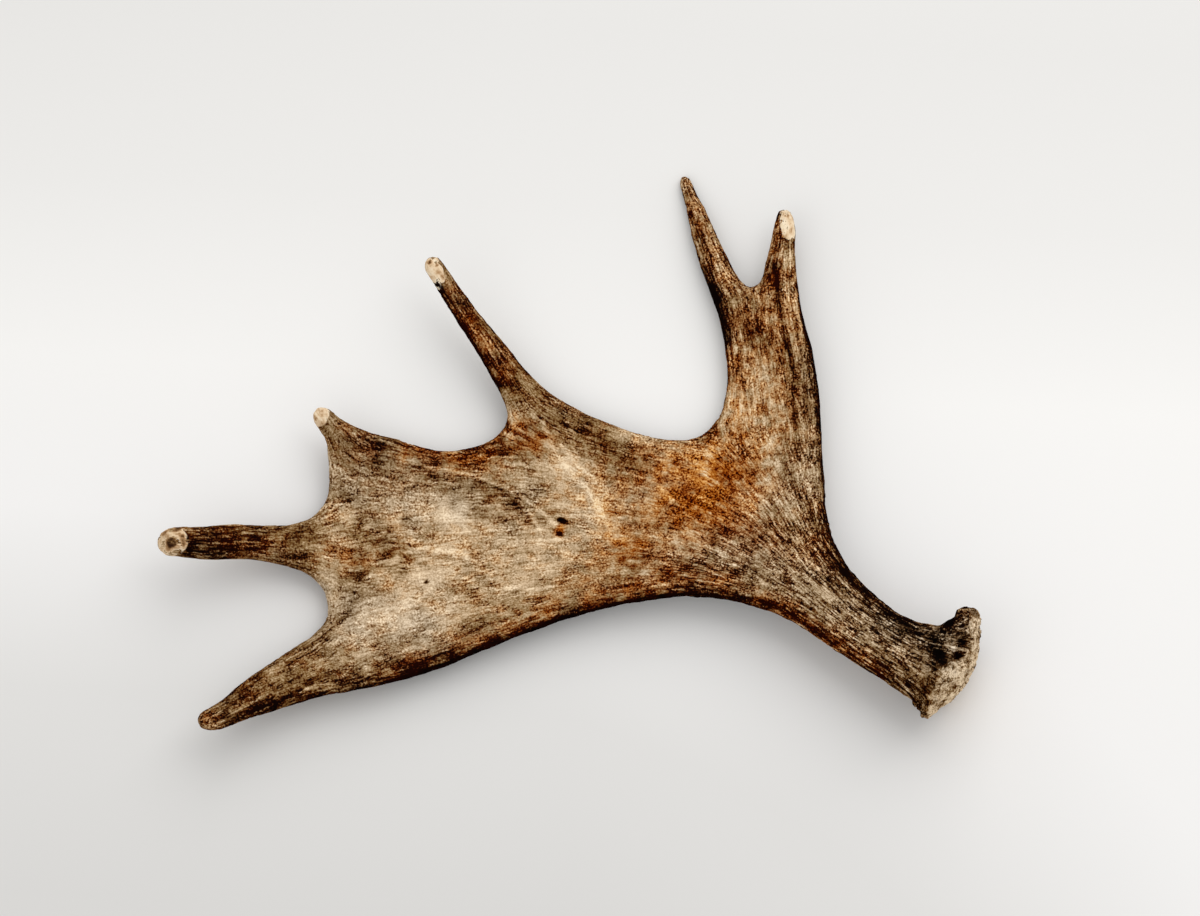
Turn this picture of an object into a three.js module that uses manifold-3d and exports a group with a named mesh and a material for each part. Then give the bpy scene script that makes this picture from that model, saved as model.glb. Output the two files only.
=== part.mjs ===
// A moose antler lying on its back on a table, hollow side up.
//
// It is one grown thing: a beam with its burr and broken seal, which forks into a main palm
// with four points and a brow palm with two. Each branch is a solid of its own, parted from
// its neighbours at the fork by a hairline cut.
//
// Plan coordinates: x runs along the antler and v across it, on a board that leans LEAN from
// the table about the x axis. Every place on the plan has a height above the table and half a
// thickness, so that the antler is two sheets, front and back, that meet along the outline.
// Millimetres and +Z up. The object's origin is the middle of its footprint.

import * as THREE from 'three';
import { mergeVertices } from 'three/addons/utils/BufferGeometryUtils.js';
import Module from 'manifold-3d';

const wasm = await Module();
wasm.setup();

// ---- Driving dimensions ----

const LEAN = THREE.MathUtils.degToRad(16);
const CUT_GAP = 0.3;

// Outline, from the burr along the lower edge and round the six points: [x, v].
const LOWER_EDGE = [
  [250, -185], [238, -186], [229, -180], [218, -172], [196, -158], [173, -143], [143, -123],
  [120, -113], [90, -106], [64, -104], [30, -108], [-8, -116], [-45, -128], [-83, -143],
  [-120, -158], [-150, -167], [-188, -175], [-210, -179], [-240, -188], [-270, -198],
  [-284, -203],
];
const POINT_1_TIP = [[-294, -203], [-300, -196], [-296, -189]];
const FIRST_GAP = [
  [-285, -182], [-263, -164], [-233, -144], [-216, -133], [-206, -122], [-204, -110],
  [-208, -98], [-218, -88], [-233, -82], [-259, -77], [-289, -77], [-315, -74],
];
const POINT_2_TIP = [[-327, -72], [-332, -65], [-328, -56], [-319, -51]];
const SECOND_GAP = [
  [-304, -51], [-278, -49], [-244, -50], [-225, -48], [-212, -41], [-205, -31], [-203, -17],
  [-204, 0], [-206, 15], [-212, 23],
];
const POINT_3_TIP = [[-215, 31], [-213, 36], [-208, 38], [-202, 36]];
const THIRD_GAP = [
  [-191, 28], [-173, 20], [-150, 14], [-128, 7], [-109, 6], [-90, 10], [-77, 17], [-70, 28],
  [-71, 38], [-77, 51], [-90, 74], [-109, 104], [-124, 129],
];
const POINT_4_TIP = [[-132, 144], [-129, 149], [-125, 152], [-119, 148]];
const WIDE_GAP = [
  [-109, 134], [-90, 109], [-71, 86], [-56, 67], [-38, 50], [-15, 36], [8, 26], [30, 18],
  [53, 14], [71, 15], [84, 24], [92, 40], [95, 59], [94, 77], [89, 105], [79, 133],
  [71, 156], [65, 186],
];
const BROW_1_TIP = [[60, 206], [61, 212], [65, 213], [69, 206]];
const BROW_GAP = [
  [79, 188], [90, 164], [101, 142], [108, 131], [114, 128], [120, 132], [124, 147], [130, 170],
];
const BROW_2_TIP = [[134, 185], [138, 188], [143, 185], [147, 175]];
const REAR_EDGE = [
  [147, 156], [150, 122], [155, 98], [161, 77], [165, 47], [167, 14], [169, -24], [173, -53],
  [184, -77], [203, -99], [225, -115], [244, -123], [258, -126], [272, -134],
];

// Section at named places: [x, v, height of its middle above the table, half its thickness].
const SECTIONS = {
  beam: [
    [259, -152, 40.5, 27], [229, -137, 37.5, 26], [201, -121, 34.5, 25.5],
    [174, -96, 31, 25], [150, -75, 28, 21],
  ],
  lowerRim: [
    [116, -98, 27, 15], [75, -94, 24.5, 11], [30, -98, 22, 9.5], [-15, -107, 19.5, 9],
    [-60, -123, 18, 8.8], [-113, -146, 18, 8.2], [-165, -162, 19, 8], [-210, -170, 22, 8.2],
  ],
  point1: [[-240, -173, 26, 8.8], [-266, -184, 32, 9.2], [-291, -195, 40, 7.6]],
  point2: [
    [-188, -63, 10, 6.5], [-212, -63, 14.5, 10.5], [-240, -63, 20.5, 13], [-270, -62, 29, 13.3],
    [-296, -62, 40, 12.6], [-318, -62, 52, 11.5],
  ],
  point3: [[-186, 5, 20, 6.2], [-198, 20, 29, 7.5], [-209, 32, 39, 6.2]],
  point4: [
    [-30, 14, 14, 7], [-56, 36, 17, 9.5], [-75, 68, 23, 11], [-92, 95, 31, 10],
    [-111, 126, 43, 8.4], [-125, 146, 53, 7],
  ],
  rearRim: [
    [146, -47, 25, 13], [152, -9, 24, 10.5], [151, 29, 23, 9.5], [146, 66, 21.5, 9.2],
    [140, 100, 21, 9.5],
  ],
  browPoint2: [[137, 130, 21, 11], [137, 156, 22, 10.2], [140, 177, 24.5, 6.2]],
  frontRim: [[105, 47, 14, 6.2], [104, 81, 13.5, 7.5], [95, 110, 13, 9.5]],
  browPoint1: [[87, 137, 11.3, 10.2], [78, 164, 9.3, 9.4], [71, 186, 6.6, 7.3], [65, 206, 4.2, 4.9]],
  mainPlate: [
    [-128, -99, 5.2, 4.9], [-150, -137, 9, 5.2], [-165, -65, 6, 5.2], [-191, -107, 9.5, 5],
    [-195, -24, 13, 5], [-150, -17, 9, 5], [-116, -3, 15, 5], [-75, -39, 8, 5],
    [-60, -84, 8.5, 5], [0, 6, 16, 5.4], [8, -39, 11.5, 5.2], [15, -77, 13, 5.8],
    [53, 2, 15, 5.4], [68, -32, 15.5, 6], [75, -65, 18, 7.5],
  ],
  browPlate: [[113, -47, 20, 10], [109, -2, 17, 6.5], [124, 36, 16.5, 6], [122, 81, 15.5, 7]],
};
const THINNEST_HALF = 4;

// Low ridges, and grooves where the rise is below zero, on the hollow front and the back.
const FRONT_RELIEF = [
  { rise: 2, width: 9, path: [[-112, -11], [-78, -18], [-63, -26], [-47, -40], [-37, -59]] },
  { rise: 2.2, width: 9, path: [[113, -72], [137, -83], [163, -99]] },
  { rise: 1.5, width: 8, path: [[-138, -67], [-100, -71], [-95, -80]] },
  { rise: -1.6, width: 7, path: [[-202, -130], [-188, -116]] },
  { rise: -1.8, width: 6, path: [[141, 92], [150, 50], [154, 14], [155, -24], [163, -54], [178, -78]] },
  { rise: -2.2, width: 6.5, path: [[152, -66], [172, -90], [198, -113], [230, -133]] },
  { rise: -2.2, width: 6.5, path: [[140, -103], [165, -119], [194, -137], [218, -151]] },
  { rise: -1.6, width: 8, path: [[121, 40], [113, 80], [101, 108]] },
  { rise: -2, width: 20, path: [[-87, -33], [-75, -30]] },
];
const BACK_RELIEF = [
  { rise: 2, width: 12, path: [[130, -80], [60, -78], [-20, -98], [-110, -132], [-200, -166]] },
  { rise: 1.6, width: 12, path: [[100, -52], [0, -55], [-90, -68], [-170, -66]] },
  { rise: 1.8, width: 12, path: [[90, -25], [10, -15], [-45, 18], [-72, 60]] },
  { rise: 1.8, width: 11, path: [[150, -40], [138, 0], [132, 50], [134, 110]] },
  { rise: -2.4, width: 7, path: [[150, -88], [196, -119], [230, -139]] },
];

// Worn ends: the middle of each flat, and the way it faces, [x, v, height] and [x, v, w].
const WORN_FLATS = [
  { at: [-319, -62, 62], facing: [-0.55, -0.12, 0.83] },
  { at: [-208, 33, 45], facing: [-0.3, 0.3, 0.9] },
  { at: [-125, 146, 60], facing: [-0.25, 0.15, 0.95] },
  { at: [141, 179, 30], facing: [0.35, 0.35, 0.87] },
];
const FLAT_CUTTER = 40;

// Holes where blood vessels left the bone of the front: [x, v, radius, depth].
const VESSEL_HOLES = [[-29, -48, 3.6, 4], [-29, -56, 3, 3], [-130, -92, 2.4, 2]];

// Burr and seal: the crown's middle, its axis on the plan, and its turned profile,
// [distance along the axis, radius].
const BURR = { x: 258, v: -152, height: 40.8, axis: [0.895, -0.41, 0.18] };
const BURR_PROFILE = [
  [-22, 0], [-20, 15], [-14, 25], [-9, 31.5], [-5, 37.5], [0, 41], [5, 40.5], [9, 36.5],
  [11.5, 32], [14, 28], [16.3, 24], [18, 20], [19.3, 15.5], [20.3, 11], [20.8, 6], [21, 0],
];
const BURR_SIDES = 44;
const CROWN_RADIUS = 35;
const KNOBS = { around: 15, height: 3.2, secondAround: 6, secondHeight: 1.6 };
// Pits in the seal: [turn in degrees, distance from the axis, radius, depth].
const SEAL_PITS = [
  [35, 24, 7, 3.5], [100, 25, 8, 4], [150, 17, 8, 3], [215, 24, 8, 3.5], [275, 15, 7, 2.5],
  [310, 25, 7, 3], [355, 12, 7, 2.5],
];

// The fork, and the directions of the three cuts that leave it, on the plan.
const FORK = [114, -39];
const TO_LOWER_EDGE = [-39, -64];
const TO_REAR_EDGE = [55, 15];
const TO_WIDE_GAP = [-39, 55];
const CUTTER_REACH = 900;
const CUTTER_DEPTH = 400;

// Spacing of the facets.
const RIM_STEP = 6;
const RING_SHARES = [0.2, 0.7];
const THICK_RING_SHARES = [0.45, 1];
const FILL_STEP = 4;
const CLOSEST_FILL = 6;
const WIDEST_FILL = 11.5;
const CLEARANCE_GAIN = 0.25;
const SMOOTHING_ROUNDS = 2;

// ---- Plan: heights and thicknesses between the named places ----

function bend(distance) {
  return distance > 0 ? distance * distance * Math.log(distance) : 0;
}

function solve(matrix, values) {
  const rows = matrix.map((row, i) => [...row, values[i]]);
  const size = rows.length;
  for (let column = 0; column < size; column += 1) {
    let pivot = column;
    for (let r = column + 1; r < size; r += 1) {
      if (Math.abs(rows[r][column]) > Math.abs(rows[pivot][column])) pivot = r;
    }
    [rows[column], rows[pivot]] = [rows[pivot], rows[column]];
    for (let r = 0; r < size; r += 1) {
      if (r !== column) {
        const share = rows[r][column] / rows[column][column];
        for (let c = column; c <= size; c += 1) rows[r][c] -= share * rows[column][c];
      }
    }
  }
  return rows.map((row, i) => row[size] / row[i]);
}

// A thin-plate spline: the smoothest sheet through one value of every named place.
function thinPlate(places, valueIndex) {
  const matrix = places.map(([x, v]) => [
    ...places.map(([ox, ov]) => bend(Math.hypot(x - ox, v - ov))), 1, x, v,
  ]);
  matrix.push([...places.map(() => 1), 0, 0, 0]);
  matrix.push([...places.map((place) => place[0]), 0, 0, 0]);
  matrix.push([...places.map((place) => place[1]), 0, 0, 0]);
  const weights = solve(matrix, [...places.map((place) => place[valueIndex]), 0, 0, 0]);
  const [base, alongX, alongV] = weights.slice(places.length);
  return (x, v) => places.reduce(
    (sum, [ox, ov], i) => sum + weights[i] * bend(Math.hypot(x - ox, v - ov)),
    base + alongX * x + alongV * v,
  );
}

const places = Object.values(SECTIONS).flat();
const heightAt = thinPlate(places, 2);
const plateHalf = thinPlate(places, 3);

function halfThicknessAt(x, v) {
  return Math.max(THINNEST_HALF, plateHalf(x, v));
}

// Depth w stands square to the leaning board.
function depthOfHeight(height, v) {
  return (height - v * Math.sin(LEAN)) / Math.cos(LEAN);
}

function middleDepth(x, v) {
  return depthOfHeight(heightAt(x, v), v);
}

// How much longer the thickness is along w than square to the sloping sheet.
function slopeStretch(x, v) {
  const alongX = (middleDepth(x + 1, v) - middleDepth(x - 1, v)) / 2;
  const alongV = (middleDepth(x, v + 1) - middleDepth(x, v - 1)) / 2;
  return Math.sqrt(1 + alongX * alongX + alongV * alongV);
}

function onTable(x, v, w) {
  const y = v * Math.cos(LEAN) - w * Math.sin(LEAN);
  const z = v * Math.sin(LEAN) + w * Math.cos(LEAN);
  return new THREE.Vector3(x, y, z);
}

// ---- Plan: the outline and distances to it ----

const outlinePoints = [
  LOWER_EDGE, POINT_1_TIP, FIRST_GAP, POINT_2_TIP, SECOND_GAP, POINT_3_TIP, THIRD_GAP,
  POINT_4_TIP, WIDE_GAP, BROW_1_TIP, BROW_GAP, BROW_2_TIP, REAR_EDGE,
].flat();

function smoothLine(points, closed) {
  const stops = points.map(([x, v]) => new THREE.Vector3(x, v, 0));
  const curve = new THREE.CatmullRomCurve3(stops, closed, 'centripetal');
  curve.arcLengthDivisions = 20 * points.length;
  return curve;
}

function spaced(points, closed, step) {
  const curve = smoothLine(points, closed);
  const steps = Math.max(2, Math.round(curve.getLength() / step));
  const stops = curve.getSpacedPoints(steps).map((p) => [p.x, p.y]);
  return closed ? stops.slice(0, -1) : stops;
}

function distanceToSegment([x, v], [ax, av], [bx, bv]) {
  const alongX = bx - ax;
  const alongV = bv - av;
  const share = ((x - ax) * alongX + (v - av) * alongV) / (alongX * alongX + alongV * alongV);
  const held = THREE.MathUtils.clamp(share, 0, 1);
  return Math.hypot(x - ax - held * alongX, v - av - held * alongV);
}

function distanceToLine(place, line, closed) {
  let nearest = Infinity;
  const last = closed ? line.length : line.length - 1;
  for (let i = 0; i < last; i += 1) {
    const to = line[(i + 1) % line.length];
    nearest = Math.min(nearest, distanceToSegment(place, line[i], to));
  }
  return nearest;
}

function isInside([x, v], loop) {
  let inside = false;
  for (let i = 0, j = loop.length - 1; i < loop.length; j = i, i += 1) {
    const [ax, av] = loop[i];
    const [bx, bv] = loop[j];
    if ((av > v) !== (bv > v) && x < ax + ((v - av) * (bx - ax)) / (bv - av)) inside = !inside;
  }
  return inside;
}

const rim = spaced(outlinePoints, true, RIM_STEP);

// ---- Plan: the net of facets ----

function ringPlace(i, share) {
  const [beforeX, beforeV] = rim[(i + rim.length - 1) % rim.length];
  const [afterX, afterV] = rim[(i + 1) % rim.length];
  const inward = new THREE.Vector2(afterV - beforeV, beforeX - afterX).normalize();
  const [x, v] = rim[i];
  const reach = share * halfThicknessAt(x, v);
  return [x + inward.x * reach, v + inward.y * reach];
}

// Places in a row along a line, this far to its left.
function besideLine(path, away) {
  const curve = smoothLine(path, false);
  const steps = Math.round(curve.getLength() / CLOSEST_FILL);
  return curve.getSpacedPoints(steps).map((point, i) => {
    const along = curve.getTangentAt(i / steps);
    return [point.x - away * along.y, point.y + away * along.x];
  });
}

function netPlaces() {
  const kept = rim.map((place) => [...place]);
  const keep = (place, spacing) => {
    if (kept.every(([x, v]) => Math.hypot(place[0] - x, place[1] - v) >= spacing)) kept.push(place);
  };
  const keepRing = (share, spacing) => {
    for (let i = 0; i < rim.length; i += 1) {
      const place = ringPlace(i, share);
      const reach = share * halfThicknessAt(...place);
      const clear = isInside(place, rim) && distanceToLine(place, rim, true) > 0.85 * reach;
      if (clear) keep(place, Math.min(spacing, 0.7 * reach));
    }
  };
  for (const share of RING_SHARES) keepRing(share, 0.45 * RIM_STEP);
  for (const share of THICK_RING_SHARES) keepRing(share, 0.6 * RIM_STEP);
  for (const row of [0, 1, -1]) {
    for (const { path, width } of [...FRONT_RELIEF, ...BACK_RELIEF]) {
      for (const place of besideLine(path, row * width)) {
        if (distanceToLine(place, rim, true) > CLOSEST_FILL) keep(place, 0.6 * CLOSEST_FILL);
      }
    }
  }
  const [minX, maxX] = [Math.min(...rim.map(([x]) => x)), Math.max(...rim.map(([x]) => x))];
  const [minV, maxV] = [Math.min(...rim.map(([, v]) => v)), Math.max(...rim.map(([, v]) => v))];
  for (let v = minV; v < maxV; v += FILL_STEP) {
    for (let x = minX; x < maxX; x += FILL_STEP) {
      const place = [x + Math.sin(12.9 * x + 4.1 * v), v + Math.sin(7.7 * x - 9.3 * v)];
      const clearance = distanceToLine(place, rim, true);
      const spacing = Math.min(WIDEST_FILL, CLOSEST_FILL + CLEARANCE_GAIN * (clearance - CLOSEST_FILL));
      if (clearance > 0.5 * CLOSEST_FILL && isInside(place, rim)) keep(place, spacing);
    }
  }
  return kept;
}

function roundThrough(corners, points) {
  const [[ax, av], [bx, bv], [cx, cv]] = corners.map((i) => points[i]);
  const twice = 2 * (ax * (bv - cv) + bx * (cv - av) + cx * (av - bv));
  const a = ax * ax + av * av;
  const b = bx * bx + bv * bv;
  const c = cx * cx + cv * cv;
  const x = (a * (bv - cv) + b * (cv - av) + c * (av - bv)) / twice;
  const v = (a * (cx - bx) + b * (ax - cx) + c * (bx - ax)) / twice;
  return { corners, x, v, radius: Math.hypot(ax - x, av - v) };
}

// Delaunay triangles of the places, by adding them one at a time, with those off the plan left out.
function netTriangles(netPoints) {
  const reach = 100 * CUTTER_REACH;
  const points = [...netPoints, [-reach, -reach], [reach, -reach], [0, reach]];
  const count = netPoints.length;
  let triangles = [roundThrough([count, count + 1, count + 2], points)];
  netPoints.forEach(([x, v], i) => {
    const edges = new Map();
    triangles = triangles.filter((triangle) => {
      if (Math.hypot(x - triangle.x, v - triangle.v) >= triangle.radius) return true;
      triangle.corners.forEach((from, k) => {
        const to = triangle.corners[(k + 1) % 3];
        if (!edges.delete(`${to} ${from}`)) edges.set(`${from} ${to}`, [from, to]);
      });
      return false;
    });
    for (const [from, to] of edges.values()) triangles.push(roundThrough([from, to, i], points));
  });
  return triangles.map((triangle) => triangle.corners).filter((corners) => {
    if (corners.some((corner) => corner >= count)) return false;
    const [a, b, c] = corners.map((corner) => points[corner]);
    return isInside([(a[0] + b[0] + c[0]) / 3, (a[1] + b[1] + c[1]) / 3], rim);
  });
}

// ---- The two sheets ----

function relief(lines, place) {
  let total = 0;
  for (const { line, rise, width } of lines) {
    const away = distanceToLine(place, line, false) / width;
    if (away < 1) total += rise * (1 - away * away) ** 2;
  }
  return total;
}

function reliefLines(reliefs) {
  return reliefs.map(({ path, rise, width }) => ({ line: spaced(path, false, width), rise, width }));
}

// The edge is rounded: half a circle whose radius is half the thickness.
function roundedHalf(place) {
  const half = halfThicknessAt(...place);
  const inset = Math.max(0, half - distanceToLine(place, rim, true));
  return Math.sqrt(half * half - inset * inset);
}

function smoothed(values, neighbours, held) {
  return values.map((value, i) => {
    if (i < held) return value;
    const around = neighbours[i];
    const mean = around.reduce((sum, j) => sum + values[j], 0) / around.length;
    return (value + mean) / 2;
  });
}

function sheetsGeometry() {
  const net = netPlaces();
  const triangles = netTriangles(net);
  const neighbours = net.map(() => new Set());
  for (const [a, b, c] of triangles) {
    neighbours[a].add(b).add(c);
    neighbours[b].add(a).add(c);
    neighbours[c].add(a).add(b);
  }
  const around = neighbours.map((set) => [...set]);
  let halves = net.map(roundedHalf);
  for (let i = 0; i < rim.length; i += 1) halves[i] = 0;
  for (let round = 0; round < SMOOTHING_ROUNDS; round += 1) {
    halves = smoothed(halves, around, rim.length);
  }
  const frontLines = reliefLines(FRONT_RELIEF);
  const backLines = reliefLines(BACK_RELIEF);
  const front = net.map(([x, v], i) => {
    const raised = halves[i] > 0 ? relief(frontLines, [x, v]) : 0;
    return onTable(x, v, middleDepth(x, v) + halves[i] * slopeStretch(x, v) + raised);
  });
  const back = net.map(([x, v], i) => {
    const raised = halves[i] > 0 ? relief(backLines, [x, v]) : 0;
    return onTable(x, v, middleDepth(x, v) - halves[i] * slopeStretch(x, v) - raised);
  });
  const backIndex = (i) => (i < rim.length ? i : i + net.length);
  const index = triangles.flatMap(([a, b, c]) => [a, b, c, backIndex(c), backIndex(b), backIndex(a)]);
  const geometry = new THREE.BufferGeometry().setFromPoints([...front, ...back]);
  geometry.setIndex(index);
  return geometry;
}

// ---- Burr and seal ----

function crownLumps(turn) {
  const broad = Math.abs(Math.sin((KNOBS.around * turn) / 2 + 0.8 * Math.sin(2 * turn)));
  const second = Math.sin(KNOBS.secondAround * turn + 1.3);
  return KNOBS.height * (broad - 0.5) + KNOBS.secondHeight * second;
}

function sealPits(turn, radius) {
  let depth = 0;
  for (const [degrees, from, size, deep] of SEAL_PITS) {
    const at = THREE.MathUtils.degToRad(degrees);
    const away = Math.hypot(
      radius * Math.cos(turn) - from * Math.cos(at),
      radius * Math.sin(turn) - from * Math.sin(at),
    ) / size;
    if (away < 1) depth += deep * (1 - away * away);
  }
  return depth;
}

function burrGeometry() {
  const profile = BURR_PROFILE.map(([along, radius]) => new THREE.Vector2(radius, along));
  const geometry = new THREE.LatheGeometry(profile, BURR_SIDES);
  const position = geometry.attributes.position;
  for (let i = 0; i < position.count; i += 1) {
    const along = position.getY(i);
    const radius = Math.hypot(position.getX(i), position.getZ(i));
    const turn = Math.atan2(position.getZ(i), position.getX(i));
    const lumps = radius > CROWN_RADIUS ? crownLumps(turn) : 0;
    const pits = along > 0 ? sealPits(turn, radius) : 0;
    const swell = radius > 0 ? (radius + lumps) / radius : 1;
    position.setXYZ(i, position.getX(i) * swell, along - pits + 0.5 * lumps, position.getZ(i) * swell);
  }
  const axis = onTable(...BURR.axis).normalize();
  geometry.applyQuaternion(new THREE.Quaternion().setFromUnitVectors(new THREE.Vector3(0, 1, 0), axis));
  const middle = onTable(BURR.x, BURR.v, depthOfHeight(BURR.height, BURR.v));
  return geometry.translate(middle.x, middle.y, middle.z);
}

// ---- Joining and cutting ----

function solidOf(geometry) {
  geometry.deleteAttribute('normal');
  geometry.deleteAttribute('uv');
  const merged = mergeVertices(geometry, 1e-3);
  return new wasm.Manifold(new wasm.Mesh({
    numProp: 3,
    vertProperties: new Float32Array(merged.attributes.position.array),
    triVerts: new Uint32Array(merged.index.array),
  }));
}

function geometryOf(solid) {
  const mesh = solid.getMesh();
  const geometry = new THREE.BufferGeometry();
  geometry.setAttribute('position', new THREE.BufferAttribute(mesh.vertProperties, 3));
  geometry.setIndex(new THREE.BufferAttribute(mesh.triVerts, 1));
  return geometry;
}

// A block that takes away all that stands past a worn flat.
function flatCutter({ at: [x, v, height], facing }) {
  const block = new THREE.BoxGeometry(FLAT_CUTTER, FLAT_CUTTER, FLAT_CUTTER);
  block.translate(0, 0, FLAT_CUTTER / 2);
  const outward = onTable(...facing).normalize();
  block.applyQuaternion(new THREE.Quaternion().setFromUnitVectors(new THREE.Vector3(0, 0, 1), outward));
  const middle = onTable(x, v, depthOfHeight(height, v));
  return solidOf(block.translate(middle.x, middle.y, middle.z));
}

function holeCutter([x, v, radius, depth]) {
  const top = middleDepth(x, v) + halfThicknessAt(x, v) * slopeStretch(x, v);
  const hole = new THREE.CylinderGeometry(1.15 * radius, 0.6 * radius, 2 * depth, 8);
  const outward = onTable(0, 0, 1);
  hole.applyQuaternion(new THREE.Quaternion().setFromUnitVectors(new THREE.Vector3(0, 1, 0), outward));
  const middle = onTable(x, v, top);
  return solidOf(hole.translate(middle.x, middle.y, middle.z));
}

// The part of the plan between two directions from the fork, drawn back by half the cut.
function branchCutter(from, to) {
  const start = new THREE.Vector2(...from).normalize();
  const end = new THREE.Vector2(...to).normalize();
  const between = start.clone().add(end).normalize();
  const halfAngle = Math.acos(start.dot(end)) / 2;
  const apex = new THREE.Vector2(...FORK).addScaledVector(between, CUT_GAP / 2 / Math.sin(halfAngle));
  const shape = new THREE.Shape([
    apex,
    apex.clone().addScaledVector(start, CUTTER_REACH),
    apex.clone().addScaledVector(between, CUTTER_REACH),
    apex.clone().addScaledVector(end, CUTTER_REACH),
  ]);
  const prism = new THREE.ExtrudeGeometry(shape, { depth: 2 * CUTTER_DEPTH, bevelEnabled: false });
  prism.translate(0, 0, -CUTTER_DEPTH).rotateX(LEAN);
  return solidOf(prism);
}

function belowTable() {
  const slab = new THREE.BoxGeometry(2 * CUTTER_REACH, 2 * CUTTER_REACH, CUTTER_DEPTH);
  return solidOf(slab.translate(0, 0, -CUTTER_DEPTH / 2));
}

function wholeAntler() {
  let antler = solidOf(sheetsGeometry());
  for (const hole of VESSEL_HOLES) antler = antler.subtract(holeCutter(hole));
  for (const flat of WORN_FLATS) antler = antler.subtract(flatCutter(flat));
  return antler.add(solidOf(burrGeometry())).subtract(belowTable());
}

// ---- The three branches ----

const whole = wholeAntler();

function branch(name, colour, from, to) {
  const material = new THREE.MeshStandardMaterial({ color: colour, roughness: 0.72, metalness: 0 });
  const mesh = new THREE.Mesh(geometryOf(whole.intersect(branchCutter(from, to))), material);
  mesh.name = name;
  return mesh;
}

const antler = new THREE.Group();
antler.add(
  branch('beam', 0xb89a76, TO_LOWER_EDGE, TO_REAR_EDGE),
  branch('brow_palm', 0xb48f66, TO_REAR_EDGE, TO_WIDE_GAP),
  branch('main_palm', 0xc9b08a, TO_WIDE_GAP, TO_LOWER_EDGE),
);

const footprint = new THREE.Box3().setFromObject(antler).getCenter(new THREE.Vector3());
antler.position.set(-footprint.x, -footprint.y, 0);

export default antler;
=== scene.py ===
"""A moose antler: one weathered, grown bone, laid on its back on a pale floor.

The antler's three solids are joined into one skin, which is smoothed, carved and dressed.
Plan coordinates are millimetres on the board that the antler is drawn on: x along it, v across
it and w out of it. Everything else is in metres, in the frame's own axes.
"""

import logging
import math
from dataclasses import dataclass, field
from enum import Enum

import bmesh
import bpy
import numpy as np
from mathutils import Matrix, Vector, kdtree, noise


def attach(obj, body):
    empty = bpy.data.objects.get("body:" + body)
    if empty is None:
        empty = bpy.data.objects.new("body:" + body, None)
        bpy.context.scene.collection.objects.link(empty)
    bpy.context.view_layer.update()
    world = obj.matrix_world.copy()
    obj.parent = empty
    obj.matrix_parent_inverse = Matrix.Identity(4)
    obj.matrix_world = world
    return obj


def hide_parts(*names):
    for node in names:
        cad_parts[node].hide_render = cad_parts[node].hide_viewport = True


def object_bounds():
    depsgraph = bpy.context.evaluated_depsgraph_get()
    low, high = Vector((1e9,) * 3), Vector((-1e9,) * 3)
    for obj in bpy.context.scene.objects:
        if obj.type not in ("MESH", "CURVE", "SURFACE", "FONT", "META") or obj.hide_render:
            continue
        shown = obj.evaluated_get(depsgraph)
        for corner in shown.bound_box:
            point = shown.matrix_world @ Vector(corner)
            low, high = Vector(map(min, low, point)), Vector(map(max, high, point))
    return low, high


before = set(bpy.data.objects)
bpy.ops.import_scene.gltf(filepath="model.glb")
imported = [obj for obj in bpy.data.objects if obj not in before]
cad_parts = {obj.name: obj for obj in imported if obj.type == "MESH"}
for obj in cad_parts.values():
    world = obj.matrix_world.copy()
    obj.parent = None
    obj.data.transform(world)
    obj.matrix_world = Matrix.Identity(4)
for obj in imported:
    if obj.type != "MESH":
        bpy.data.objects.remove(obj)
CAD_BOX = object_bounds()

LOG = logging.getLogger("antler")
MM = 0.001
BODY = "root"
NODES = ("beam", "brow_palm", "main_palm")

# What the camera takes in, in millimetres across.
FRAME_ACROSS = 900.0

# How layered noise fades and shrinks from one layer to the next.
NOISE_FADE = 0.8
NOISE_STEP = 2.0

# How squarely a face looks out of the board where the front fades in, in shape and in colour.
CARVED_FRONT = (-0.2, 0.35)
COLOURED_FRONT = (-0.15, 0.25)

# Too small to matter: it keeps a division from being by nought.
TINY = 1e-9

# The four neighbours of a cell, as the axis and the step of a shift.
NEIGHBOURS = ((0, 1), (0, -1), (1, 1), (1, -1))

# How many cells before a net's end the last pair to blend between begins.
LAST_PAIR = 1.001

# Where each part of the antler begins and ends: along or across the plan, in from its outline, by
# how squarely a face looks at an edge, or by how far a place lies in a pith mark.
FORWARD = (10, 90)
BEAM_ALONG = (110, 160)
BEAM_ACROSS = (-40, -80)
RIM_BAND = (3, 24)
INNER_BAND = (10, 60)
LOWER_EDGE = (-190, -120)
LOWER_EDGE_END = (150, 100)
REAR_EDGE = (80, 120)
REAR_EDGE_TOP = (170, 90)
LOWER_FACING = (0.1, 0.6)
REAR_FACING = (0.5, 0.95)
PITH_EDGE = (0.0, 0.7)
NECK_AWAY = (18, 26)
NECK_ACROSS = (-175, -145)

# Where along a ramp each colour stands, and the colour, 0 to 255.
Stops = tuple[tuple[float, tuple[int, int, int]], ...]

# Powers of two at which the grain is laid down, from where it crowds to where it spreads.
OCTAVES = (-1.2, 0.0, 1.2)


def smoothstep(low: float, high: float, value: np.ndarray) -> np.ndarray:
    """Ease from 0 at low to 1 at high.

    Args:
        low: Where the ease starts.
        high: Where the ease ends.
        value: The values to ease.

    Returns:
        The eased values, from 0 to 1.
    """
    share = np.clip((value - low) / (high - low), 0.0, 1.0)
    return share * share * (3.0 - 2.0 * share)


def bell(value: np.ndarray) -> np.ndarray:
    """A smooth hump, 1 at nought and nearly 0 by two."""
    return np.exp(-(value ** 2))


def fractal_noise(places: np.ndarray, octaves: int = 3) -> np.ndarray:
    """Layered noise at each place.

    Args:
        places: One row of three numbers for each place, in units of the noise's own grain.
        octaves: How many layers, each twice as fine as the last.

    Returns:
        One value for each place, about -1 to 1.
    """
    return np.array([noise.fractal(Vector(p), NOISE_FADE, NOISE_STEP, octaves) for p in places])


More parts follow.
